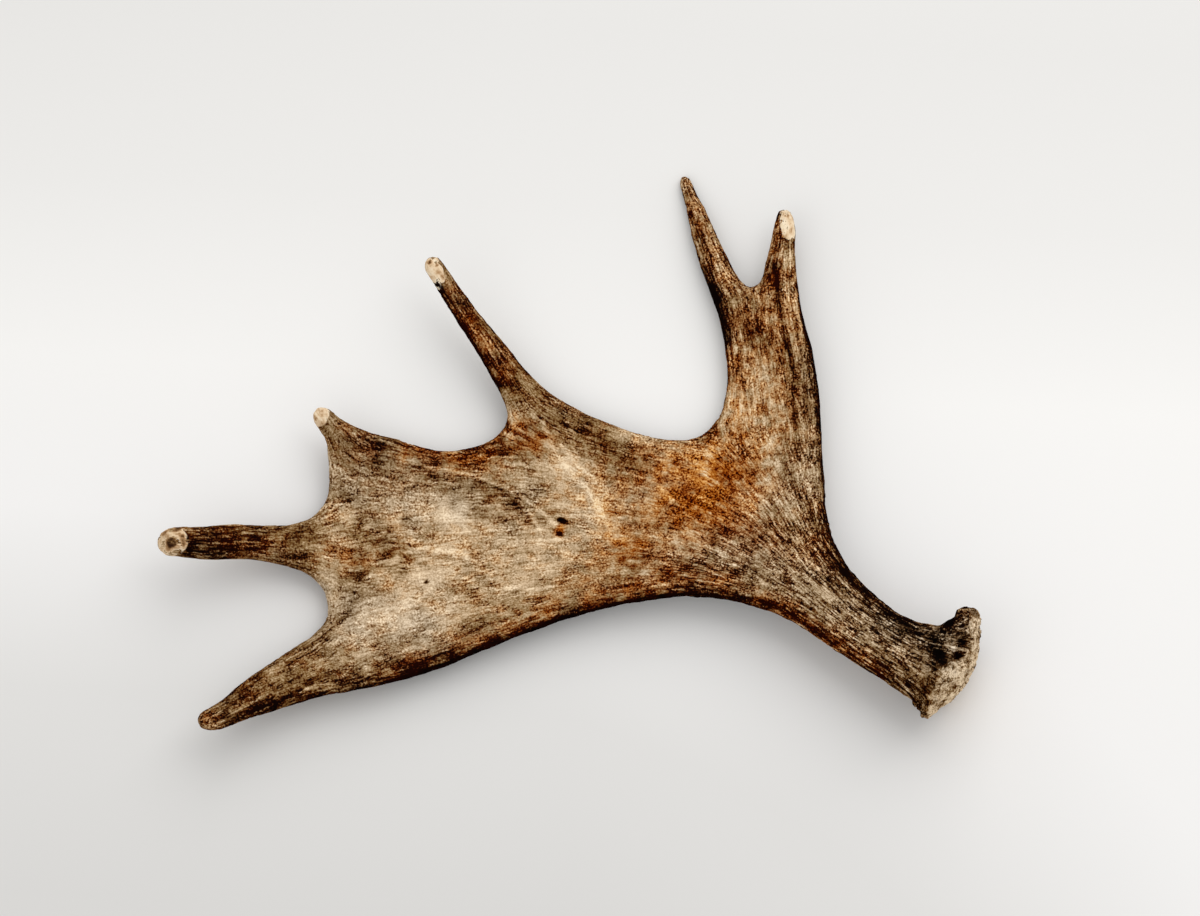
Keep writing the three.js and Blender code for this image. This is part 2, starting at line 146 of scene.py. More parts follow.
def neighbour_sum(cells: np.ndarray) -> np.ndarray:
    """The sum of each cell's four neighbours."""
    return sum(np.roll(cells, step, axis) for axis, step in NEIGHBOURS)


@dataclass(frozen=True)
class Board:
    """The leaning board on which the antler is drawn in plan."""

    lean: float = math.radians(16)
    shift: tuple[float, float] = (22.75, 1.47)

    def plan(self, co: np.ndarray) -> np.ndarray:
        """Turn places in the frame into plan coordinates.

        Args:
            co: One row for each place, in metres.

        Returns:
            One row of x, v and w for each place, in millimetres.
        """
        x, y, z = (co / MM).T
        x = x - self.shift[0]
        y = y - self.shift[1]
        v = y * math.cos(self.lean) + z * math.sin(self.lean)
        w = z * math.cos(self.lean) - y * math.sin(self.lean)
        return np.column_stack([x, v, w])

    def direction(self, x: float, v: float, w: float) -> Vector:
        """Turn a direction on the plan into the frame's axes.

        Args:
            x: How far along the board.
            v: How far across it.
            w: How far out of it.

        Returns:
            The direction, as long as it was.
        """
        y = v * math.cos(self.lean) - w * math.sin(self.lean)
        z = v * math.sin(self.lean) + w * math.cos(self.lean)
        return Vector((x, y, z))

    def place(self, x: float, v: float, w: float) -> Vector:
        """A place given on the plan in millimetres, in the frame in metres."""
        shift = Vector((self.shift[0], self.shift[1], 0.0))
        return (self.direction(x, v, w) + shift) * MM

    def place_at_height(self, x: float, v: float, height: float) -> Vector:
        """A place given on the plan by its height above the floor, in the frame in metres."""
        depth = (height - v * math.sin(self.lean)) / math.cos(self.lean)
        return self.place(x, v, depth)

    def facing(self, normals: np.ndarray, x: float, v: float, w: float) -> np.ndarray:
        """How squarely each normal faces a direction given on the plan."""
        return normals @ np.array(self.direction(x, v, w))


BOARD = Board()


@dataclass(frozen=True)
class End:
    """The end of a point or an edge of the burr: where it is, and the way it faces."""

    x: float
    v: float
    outward: tuple[float, float]


@dataclass(frozen=True)
class Side:
    """A stretch of free edge between two ends: a place off it, and the grain that lies before it."""

    x: float
    v: float
    grain: float


ENDS = (
    End(240, -193, (0.2, -1.0)), End(-298, -196, (-1.0, -0.7)), End(-331, -64, (-1.0, 0.0)),
    End(-212, 36, (-0.7, 1.0)), End(-128, 150, (-0.6, 1.0)), End(64, 212, (-0.2, 1.0)),
    End(140, 188, (0.1, 1.0)), End(281, -116, (1.0, 0.4)),
)
# Grain is counted in millimetres across the points, from the lower edge round to the rear edge.
SIDES = (
    Side(0, -200, 0.0), Side(-300, -130, 24.0), Side(-290, -10, 51.0), Side(-200, 100, 66.0),
    Side(0, 130, 87.0), Side(105, 200, 106.0), Side(230, 0, 129.0),
)


@dataclass
class GrowthField:
    """The bone's grain, which flows from the burr to the tips and never crosses a free edge.

    The grain's value is the same along each line of growth. It solves Laplace's equation on a
    net of square cells laid over the plan, held at one value along each free edge.
    """

    cell: float = 2.0
    margin: float = 16.0
    rounds: int = 700
    pull: float = 1.96
    inner_steps: int = 8
    blur_rounds: int = 10
    steepness: tuple[float, float] = (0.15, 6.0)
    low: np.ndarray = field(init=False)
    inside: np.ndarray = field(init=False)
    grain: np.ndarray = field(init=False)
    spread: np.ndarray = field(init=False)
    rim: kdtree.KDTree = field(init=False)

    def build(self, plan: np.ndarray) -> None:
        """Fill the cells under the antler and solve the grain on them.

        Args:
            plan: Plan coordinates of closely spaced places on the antler.
        """
        self.low = plan[:, :2].min(0) - self.margin
        shape = np.ceil((plan[:, :2].max(0) + self.margin - self.low) / self.cell).astype(int)
        self.inside = np.zeros((shape[1], shape[0]), bool)
        column, row = ((plan[:, :2] - self.low) / self.cell).astype(int).T
        self.inside[row, column] = True
        self.inside = ~self._grown(~self._grown(self.inside))
        self._solve(self._edge_values())
        self._measure_spread()
        self._find_rim()

    @staticmethod
    def _grown(cells: np.ndarray) -> np.ndarray:
        """Add the four neighbours of each cell.

        Args:
            cells: True for each cell that is in.

        Returns:
            The wider cells.
        """
        wider = cells.copy()
        wider[1:] |= cells[:-1]
        wider[:-1] |= cells[1:]
        wider[:, 1:] |= cells[:, :-1]
        wider[:, :-1] |= cells[:, 1:]
        return wider

    def _cell_of(self, x: float, v: float) -> tuple[int, int]:
        """Find the cell that a place lies in.

        Args:
            x: The place along the plan.
            v: The place across it.

        Returns:
            Row and column, kept on the net.
        """
        row = int((v - self.low[1]) / self.cell)
        column = int((x - self.low[0]) / self.cell)
        rows, columns = self.inside.shape
        return min(max(row, 0), rows - 1), min(max(column, 0), columns - 1)

    def _edge_values(self) -> np.ndarray:
        """Spread each side's grain over the open cells between two ends.

        Returns:
            The grain at each open cell, and nan elsewhere.
        """
        wall = np.ones_like(self.inside)
        wall[1:-1, 1:-1] = False
        reach = self.inside.shape[0] + self.inside.shape[1]
        for end in ENDS:
            step = Vector(end.outward).normalized() * (self.cell * 0.5)
            for i in range(-self.inner_steps, 2 * reach):
                row, column = self._cell_of(end.x + i * step.x, end.v + i * step.y)
                wall[max(row - 1, 0):row + 2, max(column - 1, 0):column + 2] = True
        free = ~self.inside & ~wall
        values = np.full(self.inside.shape, np.nan)
        for side in SIDES:
            values[self._cell_of(side.x, side.v)] = side.grain
        for _ in range(reach):
            before = np.isnan(values).sum()
            for axis, step in NEIGHBOURS:
                moved = np.roll(values, step, axis)
                take = free & np.isnan(values) & ~np.isnan(moved)
                values[take] = moved[take]
            if np.isnan(values).sum() == before:
                break
        return values

    def _solve(self, edges: np.ndarray) -> None:
        """Relax the grain inside, with the free edges held and the burr's end left open.

        Args:
            edges: The grain at each open cell, and nan elsewhere.
        """
        held = ~np.isnan(edges)
        known = (held | self.inside).astype(float)
        grain = np.where(held, edges, 0.5 * SIDES[-1].grain)
        rows, columns = np.indices(grain.shape)
        colours = [self.inside & ((rows + columns) % 2 == parity) for parity in (0, 1)]
        weight = np.maximum(neighbour_sum(known), 1.0)
        for _ in range(self.rounds):
            for colour in colours:
                mean = neighbour_sum(grain * known) / weight
                grain[colour] += self.pull * (mean[colour] - grain[colour])
        self.grain = grain

    def _measure_spread(self) -> None:
        """How many millimetres of plan one unit of grain covers, as a power of two."""
        down, across = np.gradient(self.grain, self.cell)
        steep = np.where(self.inside, np.hypot(down, across), 0.0)
        weight = self.inside.astype(float)
        for _ in range(self.blur_rounds):
            steep = neighbour_sum(steep) + steep
            weight = neighbour_sum(weight) + weight
        self.spread = -np.log2(np.clip(steep / np.maximum(weight, TINY), *self.steepness))

    def _find_rim(self) -> None:
        """Keep the middles of the edge cells, to measure from."""
        edge = self.inside & self._grown(~self.inside)
        rows, columns = np.nonzero(edge)
        self.rim = kdtree.KDTree(len(rows))
        for i, (row, column) in enumerate(zip(rows, columns)):
            x = self.low[0] + (column + 0.5) * self.cell
            v = self.low[1] + (row + 0.5) * self.cell
            self.rim.insert((x, v, 0.0), i)
        self.rim.balance()

    def sample(self, cells: np.ndarray, plan: np.ndarray) -> np.ndarray:
        """Values of a net at places on the plan, blended between cells.

        Args:
            cells: The net to read, such as grain or spread.
            plan: Plan coordinates.

        Returns:
            One value for each place.
        """
        place = (plan[:, :2] - self.low) / self.cell - 0.5
        column = np.clip(place[:, 0], 0, cells.shape[1] - LAST_PAIR)
        row = np.clip(place[:, 1], 0, cells.shape[0] - LAST_PAIR)
        c, r = column.astype(int), row.astype(int)
        fc, fr = column - c, row - r
        low = cells[r, c] * (1 - fc) + cells[r, c + 1] * fc
        high = cells[r + 1, c] * (1 - fc) + cells[r + 1, c + 1] * fc
        return low * (1 - fr) + high * fr

    def from_rim(self, plan: np.ndarray) -> np.ndarray:
        """Millimetres from each place to the antler's outline in plan."""
        return np.array([self.rim.find((x, v, 0.0))[2] for x, v in plan[:, :2]])


class Tone(Enum):
    """What a patch does to the bone's colour, and the last two to its shape; a groove's darkening is
    painted shade in the groove, and a vein's paling is a painted highlight on its ridge.
    """

    DARK = "dark"
    PALE = "pale"
    RUST = "rust"
    GREY = "grey"
    GROOVE = "groove"
    VEIN = "vein"


@dataclass(frozen=True)
class Patch:
    """A soft-edged patch on the front, drawn as a line that may be a single place."""

    tone: Tone
    strength: float
    reach: float
    line: tuple[tuple[float, float], ...]

    def cover(self, plan: np.ndarray) -> np.ndarray:
        """How strongly the patch covers each place.

        Args:
            plan: Plan coordinates.

        Returns:
            The patch's strength on its line, falling to nought at about twice its reach.
        """
        nearest = np.full(len(plan), np.inf)
        stops = self.line if len(self.line) > 1 else (self.line[0], self.line[0])
        for (ax, av), (bx, bv) in zip(stops, stops[1:]):
            along = np.array([bx - ax, bv - av])
            rel = plan[:, :2] - (ax, av)
            share = np.clip(rel @ along / max(along @ along, TINY), 0.0, 1.0)
            nearest = np.minimum(nearest, np.hypot(*(rel - share[:, None] * along).T))
        return self.strength * bell(nearest / self.reach)


def strokes(tone: Tone, *rows: tuple) -> tuple[Patch, ...]:
    """Patches of one tone, from rows that give strength, reach and the places run through."""
    return tuple(Patch(tone, strength, reach, tuple(line)) for strength, reach, *line in rows)


PATCHES = (
    # The main palm's four points.
    *strokes(
        Tone.DARK,
        (0.20, 14, (-306, -64), (-262, -64)), (0.26, 9, (-304, -66)), (0.08, 8, (-228, -62)),
        (0.14, 14, (-262, -64), (-225, -68)), (0.12, 20, (-285, -185), (-200, -160)),
        (0.12, 9, (-222, -170)), (0.20, 10, (-70, 52), (-62, 62)), (0.14, 9, (-85, 92), (-108, 118)),
        (0.10, 16, (-100, 116), (-78, 76)), (0.18, 8, (-216, -170)), (0.10, 6, (-212, -62)),
        (0.12, 4, (-84, 102), (-66, 81), (-51, 61)),
    ),
    *strokes(
        Tone.PALE,
        (0.10, 6, (-91, 90)), (0.10, 6, (-297, -197), (-270, -190)), (0.12, 8, (-236, -70)),
        (0.12, 7, (-87, 86), (-104, 118)), (0.12, 7, (-72, 78), (-88, 84)), (0.08, 7, (-112, 124)),
        (0.12, 7, (-240, -155)), (0.08, 9, (-268, -183), (-254, -176)),
    ),
    *strokes(Tone.RUST, (0.26, 10, (-300, -62), (-240, -64)), (0.50, 9, (-114, 124), (-74, 62))),
    *strokes(Tone.GREY, (0.22, 12, (-292, -192), (-262, -176)), (0.50, 7, (-300, -70), (-245, -74))),
    # The main palm and its free edges.
    *strokes(
        Tone.DARK,
        (0.26, 8, (-275, -193), (-215, -180), (-150, -165), (-100, -149), (-50, -129), (0, -113),
         (60, -103)), (0.05, 10, (-200, 20), (-165, 8), (-130, 2), (-80, 6)),
        (0.12, 8, (-150, -161), (-108, -150)), (0.10, 7, (-198, 14), (-156, 8)),
        (0.05, 12, (-187, 8), (-130, -4), (-75, 2)), (0.20, 11, (-49, 14)),
        (0.18, 11, (-180, -55), (-155, -68)), (0.12, 9, (-205, -66), (-178, -76)),
        (0.12, 10, (-182, -88), (-190, -104)), (0.10, 8, (-165, -8), (-168, -30)),
        (0.12, 12, (-92, -33), (-74, -30)), (0.15, 6, (-64, -32), (-45, -44)), (0.38, 8, (-151, -83)),
        (0.14, 8, (-120, -148)), (0.08, 8, (-42, -41)), (0.13, 11, (-98, -119)), (0.12, 8, (-62, 12)),
        (0.10, 7, (-140, -141)), (0.08, 7, (-80, -10)), (0.14, 7, (-152, -60)), (0.14, 6, (-179, -52)),
        (0.12, 6, (-146, 9)), (0.10, 7, (-170, -8)), (0.10, 5, (-198, -128)),
        (0.10, 6, (-170, -163), (-160, -160)), (0.14, 6, (-112, -151), (-83, -140), (-50, -129)),
        (0.07, 10, (-50, 40), (-24, 22), (0, 12)), (0.10, 7, (-36, -44)), (0.10, 7, (-50, -68)),
        (0.08, 7, (-64, -108)), (0.08, 9, (-92, -146), (-70, -136)), (0.10, 9, (-96, -52), (-84, -34)),
        (0.08, 10, (-42, 28), (-32, 6)), (0.14, 5, (-104, -16), (-82, -23), (-58, -36)),
        # The first stroke here is a painted shadow: a thin dark line under the vein that runs from (-136,
        # -67.5) to (-100, -73).
        (0.12, 2.5, (-115, -75), (-100, -79), (-88, -82)), (0.12, 8, (-157, -62)), (0.12, 7, (-123, -14)),
        (0.10, 5, (-95, -100)), (0.60, 1.8, (-147, -46), (-144, -46)), (0.10, 3.4, (-31, -55)),
        (0.30, 1.5, (-56, -47), (-48, -51)), (0.20, 3, (-206, -134), (-188, -116)),
    ),
    *strokes(
        Tone.PALE,
        (0.14, 10, (-196, -128), (-182, -134)), (0.20, 7, (-207, -90), (-200, -110)),
        (0.15, 7, (-69, 46), (-64, 22)), (0.16, 8, (-200, -2), (-198, -30), (-206, -46)),
        (0.10, 12, (-155, -20), (-130, -34)), (0.10, 9, (-176, -125)), (0.20, 7, (-196, -60)),
        (0.12, 6, (-198, -171)), (0.14, 8, (-114, -138)), (0.16, 8, (-194, -173), (-178, -170)),
        (0.20, 8, (-202, -97), (-190, -110)), (0.14, 10, (-186, -17)), (0.14, 6, (-125, 3)),
        (0.12, 8, (-96, -17)), (0.08, 9, (-38, 34), (-14, 30)), (0.12, 6, (-88, -76)),
        (0.10, 8, (-20, -54)), (0.10, 8, (-142, -126)), (0.10, 6, (-41, 28)),
        (0.12, 8, (-198, 28), (-176, 14)), (0.10, 12, (-38, -76), (-12, -70)),
        (0.08, 16, (-100, -80), (-75, -78)), (0.10, 14, (-160, -38), (-108, -45)),
        (0.14, 16, (-160, -118), (-115, -115)),
    ),
    *strokes(
        Tone.RUST,
        (0.40, 9, (-150, -158), (-83, -134), (-30, -112)),
        (0.50, 11, (-145, 4), (-110, -2), (-82, 6), (-62, 20)), (0.35, 7, (-140, -157)),
        (0.35, 9, (-76, -6)), (0.50, 12, (-49, 14)), (0.22, 10, (-163, -63), (-155, -62)),
        (0.30, 8, (-205, -68), (-178, -78)), (0.50, 9, (-188, 18), (-166, 8)), (0.50, 7, (-125, 2)),
        (0.90, 3.0, (-31, -56), (-28, -50)),
    ),
    *strokes(
        Tone.GREY,
        (0.60, 20, (-100, -36), (-66, -34)), (0.65, 32, (-190, -10), (-150, -30)),
        (0.82, 30, (-190, -118), (-140, -128)),
    ),
    *strokes(
        Tone.VEIN,
        (0.24, 1.5, (-132, -8), (-110, -10), (-85, -17), (-61, -27), (-43, -41), (-33, -50)),
        (0.22, 2.3, (-136, -67.5), (-120, -69), (-100, -73)),
        (0.12, 2.2, (-99, -75), (-85, -86), (-68, -97)), (0.16, 1.5, (-68, -97), (-48, -98), (-34, -95)),
        (0.17, 1.8, (-43, 27), (-34, 6), (-22, -11), (-8, -25), (2, -43)),
        (0.16, 1.5, (-70, -22), (-52, -42), (-44, -56)),
    ),
    # The fork: the great rust stain and what lies round it.
    *strokes(
        Tone.DARK,
        (0.12, 12, (-30, 28), (0, 12)), (0.10, 13, (15, -90), (60, -86), (125, -94)),
        (0.12, 28, (70, -24), (106, -10)), (0.04, 22, (-45, 10), (30, 0)),
        (0.12, 14, (30, -46), (125, -50)), (0.18, 9, (18, -72), (30, -70)),
        (0.16, 10, (55, -88), (75, -82)), (0.16, 9, (113, -8)), (0.25, 4, (103, -85)),
        (0.25, 11, (14, 2), (26, -6)), (0.14, 8, (82, -50)), (0.14, 9, (80, 6), (83, -8)),
        (0.10, 6, (50, -6)), (0.10, 8, (114, -12)), (0.12, 7, (20, -86)), (0.16, 5, (8, 22), (24, 18)),
        (0.28, 5, (9, -43)), (0.16, 8, (22, -80)), (0.08, 8, (100, -14)), (0.12, 7, (41, -19)),
    ),
    *strokes(
        Tone.PALE,
        # The second stroke here is a painted highlight: a thin pale rim along the palm's top edge under
        # the wide gap.
        (0.28, 9, (18, 18), (50, 9), (82, 8)), (0.16, 6, (-32, 40), (0, 27), (36, 13)),
        (0.15, 5, (155, 20), (157, -20)), (0.08, 8, (162, -30), (163, 0)), (0.10, 7, (148, 6)),
        (0.10, 7, (146, -3), (122, 20)), (0.26, 10, (112, -36)), (0.10, 7, (67, -12)),
        (0.08, 8, (18, -28), (-16, -34)), (0.08, 7, (64, -54)), (0.10, 9, (-10, -94), (36, -98)),
        (0.12, 5, (24, -50)), (0.15, 13, (-35, 4), (-10, -18), (0, -45)),
    ),
    *strokes(
        Tone.RUST,
        (0.48, 10, (-8, -106), (30, -96), (64, -90), (96, -92)), (0.28, 12, (20, -74), (64, -76)),
        (0.90, 34, (72, -28), (94, -22)), (0.22, 32, (0, -34), (30, -20), (60, -8)), (0.60, 4, (7, -40)),
        (0.40, 12, (12, -66), (28, -66)),
    ),
    *strokes(
        Tone.GREY,
        (0.30, 14, (142, -6), (140, -36)), (0.35, 12, (114, -25), (146, -24)),
        (0.30, 13, (50, -12), (22, -30)), (0.40, 7, (78, -60)), (0.55, 9, (36, -93)),
        (0.35, 14, (50, -74), (110, -76)),
    ),
    *strokes(
        Tone.VEIN,
        (0.18, 1.5, (-30, 10), (-14, -8), (6, -24)), (0.14, 1.6, (-26, -42), (20, -46)),
        (0.18, 1.5, (20, -10), (41, -18), (55, -32)),
    ),
    # The brow palm, its two points and the long grooves up its rear edge.
    *strokes(
        Tone.DARK,
        (0.16, 5, (75, 165), (83, 140), (90, 115), (95, 95)), (0.05, 6, (127, 144), (131, 118)),
        (0.10, 7, (139, 156)), (0.14, 5, (72, 166)), (0.18, 3.4, (139, 90), (145, 68)),
        (0.09, 10, (138, 64), (146, 20), (138, -4)), (0.16, 12, (114, 94), (138, 76)),
        (0.46, 4.4, (83, 128), (87, 115), (92, 100), (95, 90)), (0.10, 7, (156, 62), (160, 26)),
        (0.16, 3, (145, 160), (149, 130)), (0.18, 7, (118, 86)), (0.10, 6, (71, 174)),
        (0.12, 14, (116, 104), (122, 92)), (0.10, 9, (118, 40), (128, 28)),
        (0.12, 7, (96, 114), (108, 110)),
    ),
    *strokes(
        Tone.PALE,
        (0.14, 6, (142, 150), (146, 112)), (0.18, 6, (73, 190)), (0.20, 8, (64, 211)),
        (0.38, 8, (93, 139)), (0.08, 7, (85, 160)), (0.12, 7, (99, 52), (97, 28)),
        (0.10, 4, (146, 136), (148, 104), (154, 78), (160, 40), (163, 0)), (0.08, 5, (97, 66)),
        (0.08, 6, (132, 60)), (0.15, 4, (139, 131), (144, 104), (149, 84)),
        (0.14, 7, (106, 131), (114, 127)), (0.10, 6, (113, 74)), (0.14, 6, (153, 74)),
        (0.12, 6, (81, 146)), (0.10, 10, (124, 60)),
    ),
    *strokes(
        Tone.RUST,
        (0.24, 10, (70, 192), (86, 140)), (0.50, 6, (130, 130), (134, 176)),
        (0.30, 30, (118, 112), (112, 30)), (0.14, 16, (136, 130), (140, 20)),
        (0.24, 9, (95, 92), (99, 60), (104, 36)),
    ),
    *strokes(
        Tone.GREY,
        (0.20, 9, (64, 208)), (0.90, 6, (83, 128), (87, 115), (92, 100), (95, 90)),
        (0.40, 9, (156, 70), (160, 20), (160, -20)),
    ),
    *strokes(
        Tone.GROOVE,
        (0.42, 1.8, (149, 143), (151, 115), (155, 92), (161.5, 72), (165, 48), (167, 23),
         (168, -10), (172, -40)),
        (0.24, 1.5, (143, 140), (144, 118), (148, 92), (157, 68), (161, 44), (163, 10)),
        (0.40, 1.8, (131, 146), (132.5, 133), (135, 107), (138, 90), (142, 78)),
        (0.26, 1.8, (145, 68), (145, 43), (147, 20), (150, 0)),
        (0.08, 2.4, (83, 130), (88, 113), (92, 100), (95, 88)),
    ),
    # The beam.
    *strokes(
        Tone.DARK,
        (0.16, 10, (176, -66), (192, -92), (215, -112), (245, -128)), (0.10, 26, (128, -52), (160, -80)),
        (0.10, 11, (222, -130), (246, -140)), (0.18, 14, (210, -160), (235, -174)),
        (0.08, 30, (150, -90), (220, -140)), (0.30, 6, (122, -60), (136, -69)), (0.12, 7, (165, -110)),
        (0.20, 5, (180, -90), (188, -97)), (0.10, 9, (175, -96), (166, -112)),
        (0.12, 9, (118, -62), (120, -80)), (0.10, 7, (150, -70)),
    ),
    *strokes(
        Tone.PALE,
        # The second stroke here is a painted highlight along the beam's raised vein.
        (0.22, 9, (238, -158)), (0.09, 4.5, (126, -66), (156, -79), (174, -88), (192, -101)),
        (0.14, 6, (155, -67), (166, -85)), (0.17, 9, (128, -80), (130, -100), (112, -98)),
        (0.10, 6, (152, -56)), (0.08, 12, (150, -104), (196, -132)), (0.09, 7, (158, -62), (170, -74)),
        (0.10, 8, (112, -100), (138, -110)), (0.12, 7, (206, -113)),
        (0.10, 10, (124, -72), (150, -88), (176, -104)),
    ),
    *strokes(
        Tone.RUST,
        (0.70, 7, (120, -104), (150, -121), (196, -152), (208, -160)), (0.30, 9, (160, -66), (172, -78)),
        (0.55, 13, (94, -46), (124, -66)),
    ),
    *strokes(
        Tone.GREY,
        (0.85, 12, (214, -124), (252, -134)), (0.62, 22, (110, -64), (150, -88), (200, -120), (236, -140)),
    ),
    *strokes(
        Tone.GROOVE,
        (0.22, 1.5, (180, -83), (210, -116), (246, -135)),
        (0.20, 1.4, (186, -82), (213, -108), (246, -127)),
        (0.16, 1.4, (160, -76), (190, -104), (228, -132)),
        (0.20, 1.6, (110, -100), (150, -122), (196, -155), (222, -176)),
        (0.14, 1.4, (140, -108), (182, -138), (212, -162)),
    ),
    *strokes(Tone.VEIN, (0.26, 2.4, (118, -62), (135, -69), (156, -78), (174, -87), (195, -104))),
    # The burr.
    *strokes(
        Tone.DARK,
        # The last three strokes lie in the trenches and pits beside and below the burr's knobs: painted
        # shade there.
        (0.08, 6, (268, -126), (270, -130)), (0.30, 4, (259, -124), (266, -117)),
        (0.26, 5, (250, -142), (256, -150)), (0.26, 7, (254, -154), (248, -164), (242, -176), (238, -186)),
    ),
    *strokes(
        Tone.PALE,
        (0.26, 4, (263, -142), (269, -142)), (0.10, 6, (272, -126), (268, -131)),
        (0.12, 5, (274, -130), (272, -150)),
    ),
    *strokes(Tone.GREY, (0.90, 14, (272, -118), (256, -150))),
)


@dataclass(frozen=True)
class WornFlat:
    """A flat worn on the end of a point: its middle, and the way it faces."""

    x: float
    v: float
    height: float
    facing: tuple[float, float, float]

    @property
    def middle(self) -> Vector:
        """The flat's middle in the frame."""
        return BOARD.place_at_height(self.x, self.v, self.height)

    @property
    def outward(self) -> Vector:
        """The way that the flat faces, in the frame."""
        return BOARD.direction(*self.facing).normalized()


WORN_FLATS = (
    WornFlat(-319, -62, 61.5, (-0.55, -0.12, 0.83)),
    WornFlat(-208, 33, 44.5, (-0.3, 0.3, 0.9)),
    WornFlat(-125, 146, 59.5, (-0.25, 0.15, 0.95)),
    WornFlat(141, 179, 29.5, (0.35, 0.35, 0.87)),
)


@dataclass(frozen=True)
class Oval:
    """An oval mark on the front, long in the direction that it's turned to."""

    x: float
    v: float
    half_length: float
    half_width: float
    turn: float
    depth: float

    def cover(self, plan: np.ndarray) -> np.ndarray:
        """How far each place lies inside the oval.

        Args:
            plan: Plan coordinates.

        Returns:
            From 0 at the oval's edge to 1 in its middle.
        """
        along = math.cos(math.radians(self.turn)), math.sin(math.radians(self.turn))
        rel = plan[:, :2] - (self.x, self.v)
        length = (rel @ along) / self.half_length
        width = (rel @ (-along[1], along[0])) / self.half_width
        return np.clip(1.0 - length ** 2 - width ** 2, 0.0, 1.0)


# Bare bone on the worn points; depth says how far the middle is soiled.
BARE_OVALS = (
    Oval(-321.0, -62, 14.5, 13.5, 10, 0.27), Oval(-209.5, 32, 9.5, 7.5, 60, 0.10),
    Oval(-124, 140, 15.5, 7.0, 108, 0.06), Oval(142, 177, 14.5, 7.6, 97, 0.0),
)

# Pith and small marks that show in the bare bone; depth says how dark they are.
PITH_OVALS = (
    Oval(-319.5, -63, 5.0, 4.4, 20, 0.62), Oval(-317, -53, 6.0, 2.6, 10, 0.38),
    Oval(-326, -56, 3.4, 2.0, 60, 0.16), Oval(-311, -61, 2.4, 6.4, 0, 0.30),
    Oval(-127, 147, 2.2, 1.2, 100, 0.46), Oval(-122, 145, 1.8, 1.4, 100, 0.42),
    Oval(-128, 132, 4.5, 1.2, 106, 0.22), Oval(141, 182, 2.6, 1.3, 10, 0.50),
    Oval(137, 184, 2.4, 1.6, 120, 0.16), Oval(-213, 30, 1.0, 4.0, 30, 0.25),
    Oval(-206, 38, 3.6, 0.9, -35, 0.14),
)

# Small holes where a blood vessel lay; depth is how deep they go, in millimetres.
VESSEL_HOLES = (
    Oval(-27, -48, 6.6, 2.2, -18, 2.0), Oval(-30.5, -57, 4.0, 1.8, -12, 1.0),
    Oval(-130, -93, 2.6, 1.6, 20, 1.6),
)


@dataclass(frozen=True)
class Lump:
    """A knob, or with a negative rise a pit, on the front of the burr."""

    x: float
    v: float
    radius: float
    rise: float

    def height(self, plan: np.ndarray) -> np.ndarray:
        """How far the lump lifts each place on the plan."""
        return self.rise * bell(np.hypot(plan[:, 0] - self.x, plan[:, 1] - self.v) / self.radius)


BURR_LUMPS = (
    Lump(275, -113, 9.0, 4.5), Lump(268, -131, 5.5, 2.4), Lump(241, -194, 5.0, 2.2),
    Lump(258, -163, 5.0, 2.8), Lump(252, -165, 2.6, 1.8), Lump(248, -173, 2.4, 1.8),
    Lump(247, -181, 2.6, 1.8), Lump(245, -189, 2.4, 1.6), Lump(263, -142, 3.0, 2.6),
    Lump(248, -178, 4.0, 2.4), Lump(270.5, -137, 4.0, -4.8), Lump(267, -147.5, 3.8, -4.8),
    Lump(263, -170, 2.6, -2.4), Lump(253, -146, 4.5, -3.0), Lump(260, -123, 4.0, -3.4),
    Lump(254, -184, 3.6, -1.6),
)


@dataclass(frozen=True)
class Relief:
    """How high the carving stands and how wide its grain is, in millimetres."""

    rib: float = 0.12
    rib_near_rim: float = 0.30
    rib_on_beam: float = 0.34
    rib_width: float = 3.4
    rib_length: float = 34.0
    rib_height: float = 1.6
    rib_middle: float = 0.5
    rib_steepness: float = 2.0
    rib_slope: float = 0.6
    back_shift: float = 40.0
    swell: float = 0.35
    swell_width: float = 17.0
    pearl: float = 2.6
    pearl_width: float = 7.5
    pearl_gap: float = 0.62
    pearl_sink: float = 1.2
    crown: float = 3.6
    crown_width: float = 15.0
    crown_seed: float = 3.1
    pore: float = 2.6
    pore_width: float = 5.0
    pore_seed: float = 7.3
    pore_edge: tuple[float, float] = (0.12, 0.5)
    grit: float = 0.9
    grit_width: float = 2.6
    seal_edge: float = 3.0
    seal_bend: float = 9.0
    seal_bend_at: float = -140.0
    seal_bend_width: float = 13.0
    seal_wander: float = 3.0
    seal_wander_width: float = 6.0
    seal_fade: float = 5.0
    tip: float = 1.3
    tip_reach: float = 9.0
    vein: float = 2.8
    groove: float = 1.6
    flat_reach: float = 26.0
    rib_band: tuple[float, float] = (5, 30)
    beam_along: tuple[float, float] = (-30, 90)
    beam_across: tuple[float, float] = (30, -60)
    crown_along: tuple[float, float] = (-16, -5)
    crown_away: tuple[float, float] = (26, 34)


@dataclass(frozen=True)
class Ground:
    """How dark the bone is before the patches, from 0 for bare to 1 for black, and what adds to it; the
    edge, neck and pit shares add painted shade, and the vein share paints a highlight.
    """

    all_over: float = 0.385
    at_rim: float = 0.14
    near_rim: float = 0.06
    back: float = 0.18
    forward: float = -0.035
    hole: float = 0.9
    # Painted shade, with some dark stain, on the faces of the palm's lower edge that look down.
    lower_edge_shade: float = 0.48
    # Painted shade on the faces of the brow palm's rear edge that turn away rearward.
    rear_edge_shade: float = 0.24
    # Painted shade in the crease behind the burr's rim.
    neck_shade: float = 0.20
    neck_at: float = -13.0
    neck_width: float = 6.0
    # A negative share that pales the veins' ridges: a painted highlight.
    vein: float = -1.2
    # Painted shade in the burr's sunken pits.
    pit: float = 0.16
    seal: float = 0.19
    seal_dark: float = 0.4
    seal_pale: float = 0.3
    # Painted shade in the pits on the seal.
    seal_pit_shade: float = 0.12


